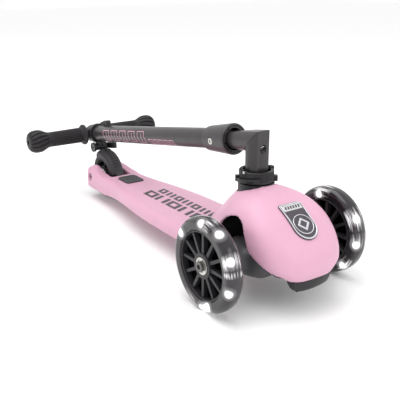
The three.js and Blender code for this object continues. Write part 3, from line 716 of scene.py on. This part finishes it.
def shield():
    """The badge's outline, with its straight sides in short lengths."""
    half, top, drop, count = 17.5, 27.5, 10, 24
    points = rounded([(half, -drop), (half, top), (-half, top), (-half, -drop)], 4.6, False)
    straight = []
    for (x0, y0), (x1, y1) in zip(points, points[1:]):
        pieces = max(1, int(math.hypot(x1 - x0, y1 - y0) / 1.6))
        straight += [(x0 + (x1 - x0) * k / pieces, y0 + (y1 - y0) * k / pieces) for k in range(pieces)]
    arc = [(-half * math.cos(math.pi * i / count), -drop - half * math.sin(math.pi * i / count))
           for i in range(count)]
    return straight + arc


def inset_outline(outline, inset, middle=(0, 2)):
    """The outline drawn in towards its middle by about inset."""
    out = []
    for x, y in outline:
        away = Vector((x - middle[0], y - middle[1]))
        scale = max(0.0, 1 - inset / away.length)
        out.append((middle[0] + away.x * scale, middle[1] + away.y * scale))
    return out


def nested(outline, levels, middle=(0, 2)):
    """Rings of the outline at (inset, height) levels."""
    return [[(x, y, h) for x, y in inset_outline(outline, inset, middle)] for inset, h in levels]


def on_badge(obj, look, *nodes):
    down = -(BADGE.to_3x3() @ Vector((0, 0, 1)))
    piece(drape(obj, down), "chassis", look, "badge_metal", *nodes)


def badge():
    """A shield with a bright border, a bright band with dark dashes, and a diamond in a ring."""
    outline = shield()
    steps = [3 + 1.5 * i for i in range(9)]
    back = [(i, -1.2) for i in reversed(steps)] + [(0, -1.2), (0, 1.35), (0.35, 1.7)]
    back += [(i + 0.3, 1.7) for i in steps]
    on_badge(loft("badge_back", nested(outline, back), BADGE), badge_field, "badge_plate")
    border = [(2.6, 1.3), (0.7, 1.3), (0.7, 2.1), (1.0, 2.35), (2.3, 2.35), (2.6, 2.1)]
    on_badge(loft("badge_border", nested(outline, border), BADGE, closed=True), badge_metal)
    band = rounded(rectangle((-14.7, 14.7), (15.6, 24.7)), 1.6)
    levels = [(2.4, 1.2), (0, 1.2), (0, 2.0), (0.3, 2.15), (1.2, 2.15), (2.4, 2.15)]
    on_badge(loft("badge_band", nested(band, levels, (0, 20)), BADGE), badge_metal)
    for i in range(6):
        x = -11.5 + 4.1 * i
        dash = [(x, 18.2), (x + 2.2, 18.2), (x + 3.4, 22.4), (x + 1.2, 22.4)]
        on_badge(prism(f"badge_dash_{i}", dash, 1.9, 2.35, BADGE, "Z"), badge_field)
    middle = moved(BADGE, 0, -6.2, 0)
    ring = [(14.0, 1.2), (14.0, 2.2), (13.8, 2.4), (13.1, 2.4), (12.9, 2.2), (12.9, 1.2)]
    on_badge(lathe("badge_ring", ring, middle, "Z"), badge_metal)
    square = rounded(rectangle((-6.6, 6.6), (-6.6, 6.6)), 1.1)
    levels = [(0.62, 1.2), (1, 1.2), (1, 2.1), (0.97, 2.3), (0.65, 2.3), (0.62, 2.1)]
    rings = [[(x * k, y * k, h) for x, y in square] for k, h in levels]
    diamond = loft("badge_diamond", rings, turned(middle, math.radians(45), "Z"), closed=True)
    on_badge(diamond, badge_metal)


def chin_guard():
    rows = spread([(29, 74, 21, 66), (33, 77.5, 25.5, 63), (44, 78.5, 30.5, 61), (52, 77, 32, 61)], 5)
    rings = []
    for z, front, half, rear in rows:
        steps = [-1 + i / 16 for i in range(33)]
        face = [(front - 3 * t * t, half * t, z) for t in steps]
        rings.append([(rear, -half, z), *face, (rear, half, z)])
    made = soften(loft("chin_guard_plastic", rings, GROUND), 2.4, 4, 40)
    piece(made, "chassis", black_plastic, "black_plastic", "chin_guard")


badge()
chin_guard()


# ---- Post and collar ----
MITRE = (math.pi / 2 + FOLD) / 2
SWIVEL = turned(HEAD, -MITRE, "Y")
MITRE_GAP = 0.15


def d_outline():
    """The section of the post and the elbow: round, with a flat."""
    start, count = math.acos(POST_FLAT / POST_RADIUS), 88
    angles = [start + 2 * (math.pi - start) * i / count for i in range(count + 1)]
    return [(POST_RADIUS * math.cos(a), POST_RADIUS * math.sin(a)) for a in angles]


def mitre_block(place, rise, side):
    """The half-space on one side of the mitre plane: side 1 is above and behind it."""
    low, high = (0, 200) if side > 0 else (-200, 0)
    offset = -MITRE_GAP * side
    return block("mitre", (-200, 200), (-200, 200), (low + offset, high + offset),
                 turned(place, -rise, "Y"))


def stem_post():
    post = prism("stem_post_metal", d_outline(), 108 - JOINT_Z, 20, HEAD, "Z")
    cut(post, mitre_block(HEAD, MITRE, 1), rod("swivel", 4.6, -30, 12, SWIVEL, "Z"))
    soften(post, 0.7, 3, 28)
    piece(post, "chassis", post_aluminium, "dark_aluminium", "stem_post")


def swivel_bolt():
    profile = [(0, -12.2), (1.3, -12.2), (1.4, -13.2), (2.9, -13.2), (3.3, -12.8), (3.3, 7.7), (3.0, 8),
               (0, 8)]
    bolt = lathe("swivel_bolt_steel", profile, SWIVEL, "Z", 40)
    piece(bolt, "chassis", steel, "steel", "swivel_bolt")


def collar():
    base = rounded(rectangle((POST_RADIUS + 0.3, COLLAR_BASE_RADIUS), (118.5, 137.7)), 0.8)
    piece(lathe("collar_base_ring", base, POST_FOOT, "Z"), "chassis", black_plastic, "black_plastic",
          "collar_base")
    half_ribs, depth = 24, 0.8

    def ribs(r, z, t):
        strength = depth if r > 22.3 and 141 < z < 152.6 else 0
        return r - strength * (1 - abs(math.cos(half_ribs * t))) ** 0.6

    outer = [(22.6, z) for z in (139.3, 140.6, 141.2, 146, 151, 152.4, 152.9)]
    profile = [(18.4, 139.3), *outer, (22, 153.6), (21.2, 153.8), (18.8, 153.8), (18.4, 153.4)]
    ring = lathe("lock_collar_ring", profile, POST_FOOT, "Z", 432, ribs)
    piece(ring, "chassis", black_plastic, "black_plastic", "lock_collar")
    for index, turn in enumerate((0, math.pi)):
        start, end = -2.2 + turn, -0.6 + turn
        ramp_block(f"collar_ramp_{index}", (21.8, 26.4), (start, end), (138, 141.5), 5.2)
        ramp_block(f"collar_tab_{index}", (21.8, 27.4), (start - 0.1, start + 0.14), (138, 138), 7.5)
        ramp_block(f"collar_stop_{index}", (21.8, 26.6), (end - 0.06, end + 0.08), (141, 141), 6.4)
        ramp_block(f"collar_notch_{index}", (19.2, 24.4), (start + 0.3, start + 0.62), (150.6, 150.6), 5)
        ramp_block(f"collar_catch_{index}", (19.4, 23.4), (start + 0.66, start + 0.8), (151.2, 151.2),
                   3.4, steel, "steel")


def ramp_block(name, radii, turns, climb, height, look=black_plastic, slot="black_plastic"):
    """A block between two radii that follows an arc about the post while its foot climbs."""
    rings, steps = [], 18
    for i in range(steps + 1):
        t = i / steps
        angle = turns[0] + (turns[1] - turns[0]) * t
        foot = climb[0] + (climb[1] - climb[0]) * t
        section = rounded(rectangle(radii, (foot, foot + height)), 0.7)
        rings.append([(r * math.cos(angle), r * math.sin(angle), z) for r, z in section])
    piece(soften(loft(name, rings, POST_FOOT), 0.4, 2, 50), "chassis", look, slot)


stem_post()
swivel_bolt()
collar()


# ---- Wheels ----
BEARING_OUTER, BEARING_HALF, BEARING_OFFSET = 11, 3.5, 6.5
FRONT_SEAT, REAR_SEAT = 44, 27
# Each emitted spot, LED glows and painted highlights and reflections alike: its turn round the wheel, its
# distance from the axle, and how far it is off the middle.
NEAR_LED_AND_HIGHLIGHT_SPOTS = ((90, 55.4, 11), (58.7, 59, 6), (144, 51, 12), (-15, 56.5, 10.2), (24.7, 58.8, 7),
              (-72, 50, 12), (-79, 53, 11.8), (-87, 55, 11), (-112, 51, -11), (160, 51, -11), (40, 51, -11))
FAR_LED_AND_HIGHLIGHT_SPOTS = ((105, 50, -11), (-3, 58, -8.7), (31, 59.5, -4), (-45, 54.7, -10.8), (150, 51, 12),
             (215, 51, 12), (-80, 51, 12), (20, 51, 12), (80, 51, 12))
# Each painted highlight, a streaky bright patch on the tread: its turn, half its length in degrees, and its
# strength.
NEAR_PAINTED_HIGHLIGHTS = ((24, 11, 1.0), (9, 4.5, 1.0), (79, 8, 0.9), (-80, 16, 1.2), (-110, 20, 0.8))
FAR_PAINTED_HIGHLIGHTS = ((31, 17, 1.2), (100, 18, 1.1), (-42, 16, 1.2), (2, 12, 0.6), (180, 12, 0.5))


def distance(tree, x, y, z, center):
    """How far the point is from a centre, in millimetres."""
    total = 0.0
    for value, middle in zip((x, y, z), center):
        gap = math_node(tree, "SUBTRACT", times(tree, value, 1000.0), middle)
        total = plus(tree, total, times(tree, gap, gap))
    return math_node(tree, "SQRT", total)


def clear_tyre_look(name, outward, led_and_highlight_spots, painted_highlight_patches):
    """Smoky clear polyurethane, dark and glossy. Its emission draws soft white spots, which are LED glows
    together with painted highlights and reflections, and streaky patches of painted highlight on the tread.
    """
    made, tree, shader, point = start(name, IOR=1.45, Coat_Weight=0.3, Coat_Roughness=0.04)
    finish(tree, shader, point, (0.018, 0.015, 0.018), 0.12, 6.0, 0.06, mottle=0.4)
    parts = add(tree, "SeparateXYZ", Vector=point)
    x, y, z = (parts.outputs[k] for k in "XYZ")
    across = times(tree, y, float(outward))
    radius = math_node(tree, "SQRT", plus(tree, times(tree, x, x), times(tree, z, z)))
    turn = times(tree, math_node(tree, "ARCTAN2", z, x), 180 / math.pi)
    glow_and_painted_highlights = 0.0
    # Soft white spots of emission: LED glows, with painted highlights and reflections among them.
    for angle, reach, off in led_and_highlight_spots:
        a = math.radians(angle)
        center = (reach * math.cos(a), off, reach * math.sin(a))
        away = distance(tree, x, across, z, center)
        core, halo = span(tree, away, 2.8, 6.4, 1.7, 0.0), span(tree, away, 4.0, 11.0, 0.30, 0.0)
        glow_and_painted_highlights = plus(tree, glow_and_painted_highlights, plus(tree, core, halo))
    # Streaks and a mask on the tread's crown, for the painted highlights and reflections on the tread.
    bands = add(tree, "CombineXYZ", X=times(tree, across, 1000.0), Y=times(tree, radius, 700.0),
                Z=times(tree, turn, 0.06))
    highlight_streaks = span(tree, noise(tree, bands.outputs[0], 0.42, 4.0, 0.7), 0.46, 0.60, 0.0, 1.0)
    crown = span(tree, radius, 47 * MM, 50 * MM, 0.0, 1.0)
    for angle, half, strength in painted_highlight_patches:
        off = math_node(tree, "ABSOLUTE", math_node(tree, "SUBTRACT", turn, float(angle)))
        other_way = math_node(tree, "ABSOLUTE", math_node(tree, "SUBTRACT", off, 360.0))
        nearest = math_node(tree, "MINIMUM", off, other_way)
        painted_highlight = times(tree, span(tree, nearest, half * 0.25, float(half), strength, 0.0), crown)
        glow_and_painted_highlights = plus(tree, glow_and_painted_highlights, times(tree, painted_highlight, highlight_streaks))
    # All of this light is emission on the tyre: LED glows, painted highlights and painted reflections.
    shader.inputs["Emission Color"].default_value = (1.0, 0.98, 1.0, 1)
    tree.links.new(glow_and_painted_highlights, shader.inputs["Emission Strength"])
    return made


clear_tyres = {"right": clear_tyre_look("clear_tyre_right", -1, NEAR_LED_AND_HIGHLIGHT_SPOTS, NEAR_PAINTED_HIGHLIGHTS),
               "left": clear_tyre_look("clear_tyre_left", 1, FAR_LED_AND_HIGHLIGHT_SPOTS, FAR_PAINTED_HIGHLIGHTS)}


def tyre_profile(wheel_radius, seat, width, offset=0.0):
    """A tyre's section, round at the tread, from the rim seat to the wheel's radius."""
    half, wall, steps = width / 2, wheel_radius - seat, 32
    profile = [(seat + 0.3, -half + 1.5), (seat + 1.2, -half + 0.5)]
    for i in range(steps + 1):
        t = -math.pi / 2 + math.pi * i / steps
        crown = abs(math.cos(t)) ** 0.85
        profile.append((wheel_radius - 0.55 * wall * (1 - crown), half * signed_power(math.sin(t), 0.85)))
    profile += [(seat + 1.2, half - 0.5), (seat + 0.3, half - 1.5)]
    return [(r, h + offset) for r, h in profile]


def rim_disc(name, place, seat, inner, half, spokes, twist):
    """Rim ring, hub and tapered spokes, as one moulding. twist turns the spokes, in spoke pitches."""
    bore, hub = BEARING_OUTER + 0.3, BEARING_OUTER + 5.2
    root, tip, thick, thin = hub - 0.8, inner + 0.8, 2.3, 1.9
    rim = lathe(name, rounded(rectangle((inner, seat), (-half, half)), 0.7), place)
    ring = rounded(rectangle((bore, hub), (-half + 0.5, half - 0.5)), 0.6)
    join(rim, lathe("hub", ring, place))
    outline = rounded([(root, -thick), (tip, -thin), (tip, thin), (root, thick)], 0.2)
    for i in range(spokes):
        angle = 2 * math.pi * (i + 0.5 + twist) / spokes
        join(rim, prism("spoke", outline, -half + 2.2, half - 2.2, turned(place, angle, "Y")))
    return soften(rim, 0.3, 2, 35)


def bearings(label, place, body):
    """The wheel's two skate bearings, each with its shield set in between its two rings."""
    half, shield_face = BEARING_HALF, BEARING_HALF - 1.2
    profile = rounded([
        (AXLE_BORE, -half), (6.2, -half), (6.3, -shield_face), (8.4, -shield_face), (8.5, -half),
        (BEARING_OUTER, -half), (BEARING_OUTER, half), (8.5, half), (8.4, shield_face),
        (6.3, shield_face), (6.2, half), (AXLE_BORE, half)], 0.25, steps=2)
    for side, middle in (("right", -BEARING_OFFSET), ("left", BEARING_OFFSET)):
        made = lathe(f"bearing_{label}_{side}_ring", profile, moved(place, 0, middle, 0))
        piece(made, body, steel, "steel", f"bearing_{label}_{side}")


def socket_bolt(name, place, body, node, seat, head_radius, head_height, tip, look=dull_steel, shank=3.9):
    """A socket-head bolt along +Y of its frame, with its hexagonal socket drilled."""
    top = seat + head_height
    profile = rounded([(0, tip), (shank, tip), (shank, seat), (head_radius, seat), (head_radius, top),
                       (0, top)], 0.5, False, 3)
    bolt = lathe(name, profile, place, steps=64)
    size = head_radius * 0.52
    hexagon = [(size * math.cos(math.pi * i / 3), size * math.sin(math.pi * i / 3)) for i in range(6)]
    cut(bolt, prism("socket", hexagon, top - head_height * 0.7, top + 1, place))
    soften(bolt, 0.18, 2, 40)
    piece(bolt, body, look, "steel", node)


def front_wheel(side, y):
    label, body = f"front_{side}", f"wheel_front_{side}"
    place = at(0, y, FRONT_RADIUS)
    outward = math.copysign(0.7, y)
    profile = tyre_profile(FRONT_RADIUS, FRONT_SEAT, 22.6, outward)
    tyre = lathe(f"tyre_{label}_clear", profile, place, steps=160)
    piece(tyre, body, clear_tyres[side], "clear_tyre", f"tyre_{label}")
    rim = rim_disc(f"rim_{label}_spoked", place, FRONT_SEAT, FRONT_SEAT - 2.2, 10, 12, -0.5)
    piece(rim, body, rim_plastic, "rim_plastic", f"rim_{label}")
    # A thin disc across the wheel's middle, from hub to rim: painted shade between the spokes.
    shade_web = rounded(rectangle((13.2, FRONT_SEAT - 2), (-1.2, 1.2)), 0.3)
    piece(lathe(f"web_{label}", shade_web, place), body, rim_web, "rim_plastic")
    bearings(label, place, body)
    facing = place if y > 0 else turned(place, math.pi, "Z")
    socket_bolt(f"axle_bolt_{side}_steel", moved(facing, 0, -HALF_TRACK, 0), "truck",
                f"axle_bolt_{side}", HALF_TRACK + 10.3, 6.6, 3.6, 30)


def rear_wheel():
    body = "wheel_rear"
    profile = tyre_profile(REAR_RADIUS, REAR_SEAT, 22)
    tyre = lathe("tyre_rear_rubber", profile, REAR_WHEEL, steps=128)
    piece(tyre, body, rear_tyre_rubber, "black_tyre", "tyre_rear")
    rim = rim_disc("rim_rear_spoked", REAR_WHEEL, REAR_SEAT, REAR_SEAT - 2.5, 9, 6, 0)
    piece(rim, body, rear_rim_plastic, "rim_plastic", "rim_rear")
    bearings("rear", REAR_WHEEL, body)
    socket_bolt("rear_axle_bolt_steel", REAR_WHEEL, "chassis", "rear_axle_bolt", 29.3, 6.4, 4, -33)


front_wheel("left", HALF_TRACK)
front_wheel("right", -HALF_TRACK)
rear_wheel()


# ---- Steering truck ----
# Distance from the middle, rear, front, underside and top of the truck's arm.
TRUCK_STATIONS = [
    (0, -22, 22, 44, 76), (12, -22, 22, 44, 76), (24, -32, 42, 37, 79), (44, -34, 45, 36, 78),
    (54, -28, 36, 38, 76), (62, -22, 24, 42, 74), (75, -16, 17, 45, 74), (90.6, -13, 13, 47, 73),
]


def truck_ring(y, rear, front, low, high):
    """The arm's section at y: a rounded rectangle from rear to front and from low to high."""
    points, count, square = [], 48, 2 / 2.8
    for i in range(count):
        t = 2 * math.pi * i / count
        x = (front + rear) / 2 + (front - rear) / 2 * signed_power(math.cos(t), square)
        z = (high + low) / 2 + (high - low) / 2 * signed_power(math.sin(t), square)
        points.append((x, y, z))
    return points


def truck():
    half = spread(TRUCK_STATIONS, 4)
    mirrored = [[-row[0], *row[1:]] for row in reversed(half[1:])]
    body = loft("truck_arms", [truck_ring(*row) for row in mirrored + half], GROUND)
    axle = at(0, 0, FRONT_RADIUS)
    kingpin = turned(axle, math.pi / 4, "Y")
    cut(body, rod("axle_bore", AXLE_BORE, -110, 110, axle),
        rod("kingpin_bore", 8.3, -60, 60, kingpin, "Z"))
    for side in ("left", "right"):
        low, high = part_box(f"centring_spring_{side}")
        middle = (low.y + high.y) / 2 / MM
        cut(body, block("spring_room", (-23, 7), (middle - 13, middle + 13), (73.6, 100), GROUND))
    soften(body, 0.9, 3, 35)
    piece(body, "truck", truck_plastic, "black_plastic", "truck_body")


truck()


# ---- Brake fender ----
FENDER_START, FENDER_END = 121, 14  # its back and its front end, in degrees up from straight ahead
TEETH_FULL_FROM = 107  # the teeth behind this angle are lower
# Shares of the fender's length: one tooth, the toothed stretch from the back, and the ribbed stretch.
TOOTH_SHARE, TEETH_END, RIBBED = 0.055, 0.275, (0.19, 0.87)


def fender_ring(angle, rib, lift):
    """One section of the fender across the wheel: rib raises its crown, lift its whole top."""
    inner, skirt = REAR_RADIUS + 2.4, REAR_RADIUS - 9
    under = [(-11.6, skirt), (-10.6, inner - 4.5), (-6.5, inner - 1), (0, inner), (6.5, inner - 1),
             (10.6, inner - 4.5), (11.6, skirt)]
    over = [(13.2, skirt), (12.2, inner - 3.6), (8, inner + 0.8), (0, inner + 2.2), (-8, inner + 0.8),
            (-12.2, inner - 3.6), (-13.2, skirt)]
    top = []
    for y, r in spread(over, 4):
        crown = max(0.0, 1 - (abs(y) / 11.5) ** 4)
        top.append((y, r + (rib + lift) * crown))
    c, s = math.cos(angle), math.sin(angle)
    return [(r * c, y, r * s) for y, r in spread(under, 4) + top]


def fender():
    rings, count = [], 150
    for i in range(count + 1):
        t = i / count
        angle = math.radians(FENDER_START + (FENDER_END - FENDER_START) * t)
        ribbed = RIBBED[0] < t < RIBBED[1]
        rib = 1.1 * max(0.0, math.sin(t * math.pi * 30)) if ribbed else 0.0
        high = 1.3 if angle > math.radians(TEETH_FULL_FROM) else 2.8
        toothed = 0.0 < t < TEETH_END
        tooth = high * abs(math.sin(t * math.pi / TOOTH_SHARE)) ** 0.7 if toothed else 0.0
        rings.append(fender_ring(angle, rib, tooth))
    cover = loft("brake_fender_plastic", rings, REAR_WHEEL)
    foot = rounded([(-2.5, -3.3), (0, -4.2), (3.8, 2), (1.5, 9), (-3, 14), (-5.2, 9.8), (-3.9, 2)],
                   1.2)
    hinge = at(HINGE_X, 0, HINGE_Z)
    join(cover, prism("foot", foot, -7, 7, hinge), rod("barrel", 4.2, -7, 7, hinge))
    cut(cover, rod("pin_bore", 2.6, -60, 60, hinge))
    soften(cover, 0.35, 2, 50)
    piece(cover, "brake", fender_plastic, "black_plastic", "brake_fender")


fender()


# ---- Folding bar ----
TUBE_RADIUS, TUBE_BORE, TUBE_FRONT, TUBE_REAR = 14.3, 12.7, 62, 466
SLEEVE_MOUTH, SLEEVE_REAR, SLEEVE_BORE, GUIDE_BORE = 47, 101, 15.4, 14.9
SCREW_X, SCREW_DROP = 77.5, math.radians(4)
CLAMP_BORE, CLAMP_BOLT_X, CLAMP_BOLT_Z, LEVER_Y = 14.6, -457, -23.5, 15.5
# Each printed row: its front end, its two sides round the tube, a panel's length, the pitch and how many.
TUBE_ROWS = ((264, -10.5, 8, 21, 31, 5), (180, -13, -4, 10, 15.5, 5))


def elbow():
    outline = d_outline()
    rows = [(30, 1), (-12, 1), (-SLEEVE_MOUTH, 0.87), (-TUBE_FRONT + 0.3, 0.87)]
    rings = [[(x, scale * b, scale * a) for a, b in outline] for x, scale in rows]
    head = loft("elbow_metal", rings, BAR)
    cut(head, mitre_block(BAR, MITRE - FOLD, -1))
    cut(head, rod("swivel", 3.8, -10, 10.5, turned(BAR, FOLD - MITRE, "Y"), "Z"))
    wall = rounded(rectangle((9, TUBE_BORE - 0.3), (-120, -58)), 0.5)
    join(head, lathe("spigot", wall, BAR, "X"))
    soften(head, 0.7, 3, 28)
    piece(head, "bar", dark_aluminium, "dark_aluminium", "elbow")


def tube():
    wall = rounded(rectangle((TUBE_BORE, TUBE_RADIUS), (-TUBE_REAR, -TUBE_FRONT)), 0.4)
    made = lathe("outer_tube_metal", wall, BAR, "X", 128)
    cut(made, soften(block("button_hole", (-430, -412), (-5.4, 5.4), (8, 20), BAR), 1.5, 3))
    piece(made, "bar", dark_aluminium, "dark_aluminium", "outer_tube")


def on_tube(s, turn, raised):
    """A point on the tube at distance s from the joint. turn is the arc's length up its near side."""
    a = turn / TUBE_RADIUS
    r = TUBE_RADIUS + raised
    return (-s, -r * math.cos(a), r * math.sin(a))


def tube_marks():
    """Two rows of outlined slanted panels printed on the tube's near side, each with a bar in it."""
    points, faces = [], []

    def line(start, end, width):
        run, rise = end[0] - start[0], end[1] - start[1]
        length = math.hypot(run, rise)
        aside = (rise / length * width, -run / length * width)
        start, end = [(s - aside[0] / 2, t - aside[1] / 2) for s, t in (start, end)]
        stroke(points, faces, start, end, aside, (-0.2, 0.1), max(2, int(length / 2.5)), on_tube)

    for first, low, high, length, pitch, count in TUBE_ROWS:
        slant = (high - low) * 0.28
        for i in range(count):
            s = first + pitch * i
            corners = [(s, low), (s + length, low), (s + length + slant, high), (s + slant, high)]
            for corner, following in zip(corners, corners[1:] + corners[:1]):
                line(corner, following, 0.95)
            middle = s + length / 2
            line((middle, low + 2.6), (middle + slant * 0.6, high - 3.2), 0.9)
    marks = solid("tube_marks", points, faces, BAR)
    piece(marks, "bar", tube_ink, "pink_shell")


def sleeve():
    mouth, rear, bore, guide = SLEEVE_MOUTH, SLEEVE_REAR, SLEEVE_BORE, GUIDE_BORE
    profile = rounded([
        (bore, -rear), (16, -rear), (17.4, -rear + 1.6), (18, -rear + 9), (21.2, -mouth - 1.8),
        (20.4, -mouth), (17.9, -mouth), (17.8, -mouth - 1.6), (17.1, -mouth - 1.6), (17.0, -mouth - 0.5),
        (guide, -mouth - 0.5), (guide, -mouth - 3), (bore, -mouth - 4)], 0.4, steps=5)
    made = lathe("lock_sleeve_metal", profile, BAR, "X", 128)
    for index, turn in enumerate((-2.5, -1.35, 0.6, 1.8)):
        cut(made, block(f"notch_{index}", (-mouth - 2.6, -mouth + 3), (-1.7, 1.7), (13.2, 17.4),
                        turned(BAR, turn, "X")))
    place = turned(moved(BAR, -SCREW_X, 0, 0), SCREW_DROP, "X")
    crisp(cut(made, rod("screw_seat", 4.9, -40, -17.6, place)))
    piece(made, "sleeve", dark_aluminium, "dark_aluminium", "lock_sleeve")
    socket_bolt("sleeve_screw_steel", turned(place, math.pi, "Z"), "sleeve", "sleeve_screw",
                17.9, 4.5, 1.7, 16.2, steel, 2.2)


def clamp():
    band = rounded(rectangle((CLAMP_BORE, 18), (-466.5, -457)), 0.8)
    made = lathe("clamp_band_plastic", band, BAR, "X")
    bolt = moved(BAR, CLAMP_BOLT_X, 0, CLAMP_BOLT_Z)
    join(made, block("lug", (-465, -451), (-7, 7), (-24, -14.9), BAR),
         rod("boss", 6.6, -14, 10, bolt), rod("cup", 8.6, -17, -13.5, bolt))
    cut(made, rod("bore", 2.8, -30, 30, bolt), rod("head_room", 5.3, -18, -13.25, bolt),
        rod("tube_room", CLAMP_BORE, -480, -430, BAR, "X", 96),
        block("slit", (-470, -440), (-0.8, 0.8), (-40, -12), BAR))
    soften(made, 0.5, 2, 35)
    piece(made, "bar", black_plastic, "black_plastic", "clamp_band")
    socket_bolt("clamp_bolt_steel", turned(bolt, math.pi, "X"), "bar", "clamp_bolt",
                13.3, 4.9, 3.2, -LEVER_Y, shank=2.5)
    arm = rounded([(0, -4.7), (5, -4.6), (19, -3.5), (26, -1.5), (27.5, 2), (23, 5), (5, 4.5), (-2, 3.7),
                   (-4, 2), (-4.5, -1.5), (-3.5, -3.2)], 1.6)
    place = moved(bolt, 0, LEVER_Y, 0)
    lever = prism("clamp_lever_plastic", arm, -5, 5, place, "Z")
    cut(lever, block("fork", (-20, 3.1), (-20, 20), (-2.8, 2.8), place),
        rod("pin", 2.7, -20, 20, place, "Z"))
    soften(lever, 0.9, 3, 35)
    piece(lever, "clamp_lever", black_plastic, "black_plastic", "clamp_lever")


def height_button():
    made = soften(block("height_button_plastic", (-428.5, -413.5), (-4.5, 4.5), (9, 23.6), BAR), 1.6, 4)
    piece(made, "height_button", black_plastic, "black_plastic", "height_button")


elbow()
tube()
tube_marks()
sleeve()
clamp()
height_button()


# ---- Handlebar ----
HANDLEBAR = moved(BAR, -481, 0, 0)
CROSS_RADIUS, GRIP_END = 9.8, 124.3
GRIP_RIBS, BULB_GROOVES = 26, 15


def grip(side, name):
    """A grip with a round flange at its inner end and a grooved bulb at its outer end."""
    flange = [(CROSS_RADIUS, 18.6), (17.4, 18.6), (18.2, 19.2), (18.5, 20.6), (18.2, 22.4), (17, 23.6),
              (14.6, 24.4), (13.9, 25.4)]
    body = [(13.7, 27), (13.5, 45), (13.35, 70), (13.2, 86), (13.8, 91), (15.8, 96), (19.0, 103),
            (20, 110.5), (19.2, 117.5), (16.6, 122.8), (12.8, 125.6), (8.0, 126.6)]
    profile = [*flange, *spread(body, 5), (3.6, 126.8), (CROSS_RADIUS, GRIP_END)]

    def ribs(r, h, t):
        y = abs(h)
        if 27 < y < 87:
            fade = min(1.0, (y - 27) / 1.5, (87 - y) / 1.5)
            return r - 1.3 * fade * (1 - abs(math.cos(GRIP_RIBS / 2 * t))) ** 1.6
        if 90 < y < 126.2 and r > 9:
            fade = min(1.0, (y - 90) / 5, (126.2 - y) / 1.5)
            swirl = t + 0.012 * (y - 108)
            groove = max(0.0, math.cos(BULB_GROOVES * swirl)) ** 3
            return r - 2.4 * fade * groove
        return r

    made = lathe(f"{name}_rubber", [(r, h * side) for r, h in profile], HANDLEBAR, "Y", 320, ribs)
    piece(made, "t_bar", grip_rubber, "black_rubber", name)


def hub():
    profile = rounded([(0, -12), (9, -12), (13.5, -9.5), (15.8, -5), (15.8, 11.5), (14.8, 12.5),
                       (0, 12.5)], 1.2, False, 5)
    made = lathe("bar_hub_plastic", profile, HANDLEBAR, "X")
    cut(made, rod("cross_bore", CROSS_RADIUS, -40, 40, HANDLEBAR),
        rod("socket", TUBE_BORE, 0, 40, HANDLEBAR, "X"))
    soften(made, 0.5, 2, 35)
    piece(made, "t_bar", black_plastic, "black_plastic", "bar_hub")


grip(1, "grip_left")
grip(-1, "grip_right")
hub()


# ---- CAD nodes that stay, with finished materials ----
for subpart in frame["record"]["subparts"]:
    node_object = frame["nodes"][subpart["node"]]
    if not node_object.hide_render:
        node_object.data.materials.clear()
        look = inner_plastic if subpart["node"] == "pivot_frame" else SLOTS[subpart["material_slot"]]
        node_object.data.materials.append(look)


# ---- Floor, light and camera ----
def floor():
    made = prism("floor", rectangle((-6000, 6000), (-6000, 6000)), -20, 0, GROUND, "Z")
    look, tree, shader, point = start("pale_floor")
    finish(tree, shader, point, (0.965, 0.965, 0.965), 0.6, 30.0, 0.01, mottle=0.004)
    made.data.materials.append(look)


def area_light(name, place, aim, size, watts):
    data = bpy.data.lights.new(name, "AREA")
    data.shape = "RECTANGLE"
    data.size, data.size_y = size
    data.energy = watts
    lamp = bpy.data.objects.new(name, data)
    bpy.context.scene.collection.objects.link(lamp)
    lamp.location = place
    lamp.rotation_euler = (Vector(aim) - Vector(place)).to_track_quat("-Z", "Y").to_euler()


def studio():
    world = bpy.data.worlds.new("studio")
    bpy.context.scene.world = world
    world.use_nodes = True
    background = world.node_tree.nodes["Background"]
    background.inputs["Color"].default_value = (1, 1, 1, 1)
    background.inputs["Strength"].default_value = 1.0
    area_light("key", (-0.25, -0.35, 1.7), (0, 0, 0.05), (1.8, 1.4), 17)
    area_light("front", (1.6, 0.3, 0.9), (0.15, 0, 0.08), (1.0, 1.0), 5)


def camera():
    data = bpy.data.cameras.new("camera")
    data.sensor_width = 36
    data.lens = 59.39
    data.clip_end = 50
    made = bpy.data.objects.new("camera", data)
    bpy.context.scene.collection.objects.link(made)
    made.location = at(588.356, -521.671, 396.888).to_translation()
    made.rotation_euler = Vector((-0.7747, 0.5379, -0.3325)).to_track_quat("-Z", "Y").to_euler()
    bpy.context.scene.camera = made


floor()
studio()
camera()
bpy.context.scene.view_settings.view_transform = "Standard"
